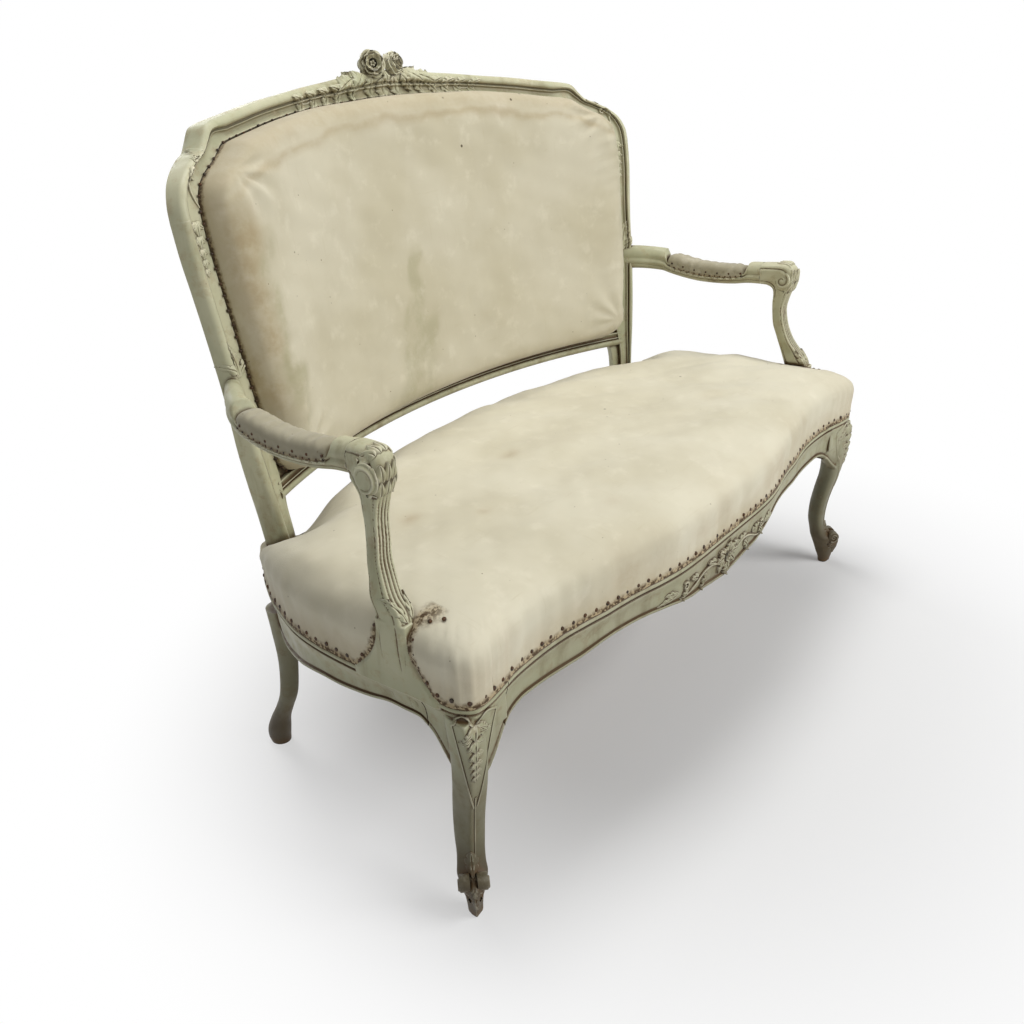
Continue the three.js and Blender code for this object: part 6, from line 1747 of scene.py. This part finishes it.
def support_piece():
    """The arm support with its knuckle, and leaves down the front of both."""
    volute, middle = volute_body()
    whole = fuse(merge([support_body(), flare_body(), volute]), 1.2 * mm, 3)
    tree = tree_of(whole)
    relief = []
    for tilt, z, y in ((1.15, 0.012, -0.006), (0.3, -0.004, -0.02), (-0.1, -0.024, -0.018)):
        look_up = np.array([0.0, math.sin(tilt), math.cos(tilt)])
        lobes = merge([moved(leaf(0.024, 0.013, 1, 4.2 * mm, curl=2 * mm), x, 0, turn) for x, turn in
                       ((-0.0085, -0.12), (0, 0), (0.0085, 0.12))])
        relief.append(carve(tree, lobes, middle + [0, y, z], rightward, look_up, 0.04))
        for way in (-1, 1):
            path = np.stack([np.full(14, way * 0.0165), 0.026 * np.linspace(-0.1, 1, 14)], -1)
            bead = tapered(path, 3.4, 3.4, 2.2 * mm)
            relief.append(carve(tree, bead, middle + [0, y, z], rightward, look_up, 0.04))
    for way in (-1, 1):
        frond = moved(leaf(0.044, 0.013, 4, 3 * mm, curl=2 * mm, bend=0.3), 0, 0, way * 0.2, flip=way < 0)
        centre = np.array([middle[0] + 0.018 + way * 0.006, 0.13, 0.445])
        relief.append(carve(tree, frond, centre, rightward, np.array([0.0, 0.3, 1])))
    return merge([whole, *relief])


make_pair("carved_arm_support", support_piece(), paint, ["arm_support"], fused_sharp)


# Upholstery
# Marks on the seat cloth: stains, its hem, and a brown front wall that is partly stain and partly painted
# shade.
def stain_and_shade_seat(mesh):
    points = seat_points(mesh)
    x, y, z = points.T
    # Brown low on the front wall: partly a stain, partly painted shade.
    wall = np.clip((0.452 - z) / 0.06, 0, 1) * np.clip(1 - y / 0.12, 0, 1)
    brown = wall * np.clip(0.35 + 0.35 * waves(points[:, :2], 0.13, 51), 0, 1) * 0.75
    for cx, cy, reach, size in ((-0.41, 0.315, 0.02, 0.5), (-0.136, 0.345, 0.018, 0.45),
                                (0.3, 0.2, 0.03, 0.2), (-0.2, 0.1, 0.02, 0.2), (-0.33, 0.24, 0.012, 0.35)):
        away = np.hypot(x - cx, (y - cy) * 1.4) / reach
        brown = np.maximum(brown, size * np.exp(-away**2))
    edge = np.clip((seat_height + 9 * mm - z) / (4 * mm), 0, 1)
    # Brown band just above the tacks: partly a stain, partly painted shade.
    brown = np.maximum(brown, np.clip((0.4 - z) / 0.045, 0, 1) * 0.55 * (z < 0.41))
    store(mesh, "brown", np.clip(brown, 0, 1))
    beside = np.minimum(np.abs(y - flare_edge(z, -1)), np.abs(y - flare_edge(z, 1)))
    cut = np.clip((9 * mm - beside) / (4 * mm), 0, 1) * (np.abs(x) > 0.57) * (z < 0.447)
    slit = np.clip(1 - np.hypot((y - 0.122) / 0.02, (z - 0.447) / 0.012), 0, 1) * (np.abs(x) > 0.56)
    store(mesh, "hem", np.maximum.reduce([edge, cut, slit]))
    store_blank(mesh, "olive")


def stain_back(mesh):
    points = seat_points(mesh)
    x, y, z = points.T
    wobble = waves(np.stack([x, z], -1), 0.08, 61) * 0.012
    above = np.clip((z - 0.53) / 0.1, 0, 1)
    left = np.exp(-((x + 0.468 + wobble * 0.6) / 0.03) ** 2) * above * np.clip((0.93 - z) / 0.06, 0, 1)
    top_line = np.interp(np.abs(x), [0, 0.2, 0.4, 0.5], [0.982, 0.975, 0.945, 0.9])
    tide = np.exp(-((z - top_line + 0.006 + wobble * 0.35) / 0.008) ** 2) * 0.5
    line = back_line()
    near = np.full(len(points), 1.0)
    for px, pz in line[::3]:
        near = np.minimum(near, np.hypot(x - px, z - pz))
    rim = np.exp(-((near - 0.004) / 0.02) ** 2) * 0.4
    low = np.exp(-((z - 0.5) / 0.014) ** 2) * 0.4
    store(mesh, "brown", np.clip(np.maximum.reduce([left * 0.75, tide, rim, low]), 0, 1))
    bulge = back_point(x, z)[:, 1] - y
    store(mesh, "hem", np.clip((0.011 - bulge) / 0.005, 0, 1) * (near < 0.02))
    right_band = np.exp(-((x - 0.478 + wobble * 0.6) / 0.016) ** 2) * 0.35
    flame_x = np.interp(z, [0.49, 0.58, 0.68, 0.76], [-0.13, -0.10, -0.075, -0.06]) + wobble * 1.4
    wide = np.interp(z, [0.49, 0.58, 0.7, 0.77], [0.075, 0.05, 0.026, 0.006])
    flame = np.exp(-((x - flame_x) / wide) ** 4) * np.clip((0.78 - z) / 0.03, 0, 1)
    band = np.exp(-((x + 0.432 + wobble) / 0.018) ** 2) * above * np.clip((0.9 - z) / 0.1, 0, 1)
    store(mesh, "olive", np.clip(np.maximum.reduce([flame * 0.42, band * 0.6, right_band]), 0, 1))


def support_tacks(tree):
    """Tacks along the cut in the cloth round each arm support."""
    parts = []
    for way in (-1, 1):
        for z in np.arange(seat_height + 0.022, 0.44, 0.017):
            start = Vector((0.75, float(flare_edge(z, way)) + way * 7 * mm, z))
            hit = tree.ray_cast(start, Vector((-1, 0, 0)))
            parts.append(tack(np.array(hit[0]), np.array(hit[1]), 2.6 * mm))
    for x, y in ((0.585, 0.115), (0.575, 0.1)):
        hit = tree.ray_cast(Vector((x, y, 0.6)), Vector((0, 0, -1)))
        parts.append(tack(np.array(hit[0]), np.array(hit[1]), 3 * mm))
    right = merge(parts)
    return merge([right, mirrored(right)])


seat_made = seat_body()
seat = make("seat_cushion", seat_made, seat_calico, ["seat_cover", "seat_stuffing"], soft_sharp)
stain_and_shade_seat(seat.data)
back = make("back_pad", back_body(), back_calico, ["back_cover", "back_stuffing"], soft_sharp)
stain_back(back.data)
make("seat_tacks", merge([seat_nails(), support_tacks(tree_of(seat_made))]), tack_iron)
back_row = back_nails((-0.011, -4.6 * mm), (-0.06, -20 * mm), back_nail_spacing, 5)
make("back_tacks", back_row, tack_iron)
for pad in pads:
    store_blank(pad.data, "brown", "olive")
    store(pad.data, "hem", pad_hem(pad.data))


def add_straps():
    for node_name, places, web in (
            ("seat_web_long", web_places, long_web),
            ("seat_web_cross", np.array(web_cross_shares) * seat_depth, cross_web),
            ("back_web_upright", back_web_places, upright_web),
            ("back_web_cross", np.array(back_web_cross_shares) * back_height, back_cross_web)):
        name = node_name.replace("web", "strap")
        for i, at in enumerate(places):
            body, border = web(at)
            piece = make(f"{name}_{i + 1}", body, straps, [f"{node_name}_{i + 1}"])
            store(piece.data, "border", border.astype(float))


add_straps()


def add_back_sheets():
    hessian_front = back_web_level - web_thickness * 1.5 - 4 * gap - 1 * mm
    lining = make("back_lining_hessian", back_sheet(hessian_front, 1 * mm, 0.006, 60, 50, 0.3 * mm), jute,
                  ["back_hessian"])
    outer = make("outside_back_calico", back_sheet(frame_depth + 0.5 * mm, cloth, 0.001, 110, 100, 0.8 * mm),
                 outer_calico, ["outside_back_cover"])
    store_blank(outer.data, "brown", "olive", "hem")
    tacks = back_nails((0.012, frame_depth + 2 * mm), (0.012, frame_depth + 20 * mm), 0.026, 7)
    make("outside_back_tacks", tacks, tack_iron)


def add_seat_hessian():
    """Hessian over the seat webbing, cut to the seat and drawn in beside the rear posts."""
    places = seat_places()
    point, _, out = seat_place(places)
    edge = point - out * (support_foot + ledge + 4 * gap)
    rows = np.linspace(0, 1, 26)
    middle = seat_middle(point)
    plan = edge + (middle - edge) * rows[:, None, None]
    away = np.hypot(np.abs(plan[..., 0]) - stile_foot[0], plan[..., 1] - stile_foot[1])
    level = web_level + web_thickness * 1.5 + 2 * gap
    plan = plan + (middle - plan) * np.clip(1 - away / 0.055, 0, 1)[..., None] * 0.1
    z = level + np.zeros(plan.shape[:2])
    low = np.concatenate([plan, z[..., None]], -1)
    high = np.concatenate([plan, z[..., None] + 1 * mm], -1)
    points, faces = loft(np.concatenate([low[::-1], high]), caps=False)
    body = outward(weld((points, faces), 1e-4))
    piece = make("seat_lining_hessian", body, jute, ["seat_hessian"])


add_back_sheets()
add_seat_hessian()


# Camera
def add_camera():
    """A camera where the photographer's stood, aimed by yaw, pitch and a slight roll."""
    yaw, pitch, roll = math.radians(50.24), math.radians(25.84), math.radians(-3.06)
    focal_px, frame_px, sensor = 970.3, 1024, 36.0
    place = (-1.302, -0.98771, 1.082)
    level_share = math.cos(pitch)
    forward = Vector((math.sin(yaw) * level_share, math.cos(yaw) * level_share, -math.sin(pitch)))
    level = Vector((math.cos(yaw), -math.sin(yaw), 0))
    upright = level.cross(forward)
    right = level * math.cos(roll) + upright * math.sin(roll)
    up = upright * math.cos(roll) - level * math.sin(roll)
    data = bpy.data.cameras.new("camera")
    data.sensor_fit = "HORIZONTAL"
    data.sensor_width = sensor
    data.lens = focal_px / frame_px * sensor
    data.clip_start = 0.05
    camera = bpy.data.objects.new("camera", data)
    bpy.context.scene.collection.objects.link(camera)
    turn = Matrix((right, up, -forward)).transposed().to_4x4()
    camera.matrix_world = Matrix.Translation(place) @ turn
    bpy.context.scene.camera = camera


def seen_directly(tree):
    """Above 0 for what the camera sees, straight, in a mirror or through glass."""
    rays = add_node(tree, "ShaderNodeLightPath").outputs
    seen = rays["Is Camera Ray"]
    for kind in ("Is Glossy Ray", "Is Transmission Ray"):
        seen = add_node(tree, "ShaderNodeMath", {0: seen, 1: rays[kind]}, operation="MAXIMUM").outputs[0]
    return seen


def add_floor():
    """Pale floor that fades to white away from the sofa."""
    reach, grey, fade_start, fade_end = 30.0, 0.74, 0.35, 1.1
    corners = [(-reach, -reach, 0), (reach, -reach, 0), (reach, reach, 0), (-reach, reach, 0)]
    plane = new_object("floor", (corners, [(0, 1, 2, 3)]))
    material = bpy.data.materials.new("floor")
    material.use_nodes = True
    tree = material.node_tree
    tree.nodes.clear()
    diffuse = add_node(tree, "ShaderNodeBsdfDiffuse", {"Color": (grey, grey, grey, 1)})
    white = add_node(tree, "ShaderNodeEmission", {"Strength": 1.0})
    place = add_node(tree, "ShaderNodeTexCoord").outputs["Object"]
    around = add_node(tree, "ShaderNodeMapping", {"Vector": place, "Location": (-0.1, 0.22, 0)})
    away = add_node(tree, "ShaderNodeVectorMath", {0: around.outputs[0]}, operation="LENGTH")
    fade = add_node(tree, "ShaderNodeMapRange", {"Value": away.outputs["Value"], "From Min": fade_start,
                                                 "From Max": fade_end}, interpolation_type="SMOOTHSTEP")
    share = {0: fade.outputs[0], 1: seen_directly(tree)}
    seen = add_node(tree, "ShaderNodeMath", share, operation="MULTIPLY")
    blend = add_node(tree, "ShaderNodeMixShader", {0: seen.outputs[0], 1: diffuse.outputs[0],
                                                   2: white.outputs[0]})
    add_node(tree, "ShaderNodeOutputMaterial", {"Surface": blend.outputs[0]})
    plane.data.materials.append(material)


def add_world():
    """Dim cool light all round, and white where the world itself is seen."""
    world = bpy.data.worlds.new("studio")
    bpy.context.scene.world = world
    world.use_nodes = True
    tree = world.node_tree
    tree.nodes.clear()
    around, white = [add_node(tree, "ShaderNodeBackground", {"Color": rgba, "Strength": strength}).outputs[0]
                     for rgba, strength in (((0.97, 0.98, 1.0, 1), 0.17), ((1, 1, 1, 1), 1.0))]
    blend = add_node(tree, "ShaderNodeMixShader", {0: seen_directly(tree), 1: around, 2: white})
    add_node(tree, "ShaderNodeOutputWorld", {"Surface": blend.outputs[0]})


def add_lamp(name, place, target, size, power):
    data = bpy.data.lights.new(name, "AREA")
    data.size = size
    data.energy = power
    lamp = bpy.data.objects.new(name, data)
    bpy.context.scene.collection.objects.link(lamp)
    lamp.location = place
    lamp.rotation_euler = (Vector(target) - Vector(place)).to_track_quat("-Z", "Y").to_euler()


add_camera()
add_floor()
add_world()
add_lamp("key", (1.0, -3.0, 2.3), (0, 0, 0.5), 2.0, 100)
add_lamp("top", (0.2, 0.4, 3.4), (0, 0, 0.3), 1.3, 52)
add_lamp("fill", (-3.0, -1.2, 1.7), (0, 0, 0.5), 2.4, 11)
add_lamp("rear", (0.6, 3.2, 1.9), (0, 0, 0.6), 2.2, 40)
bpy.context.scene.view_settings.view_transform = "Standard"
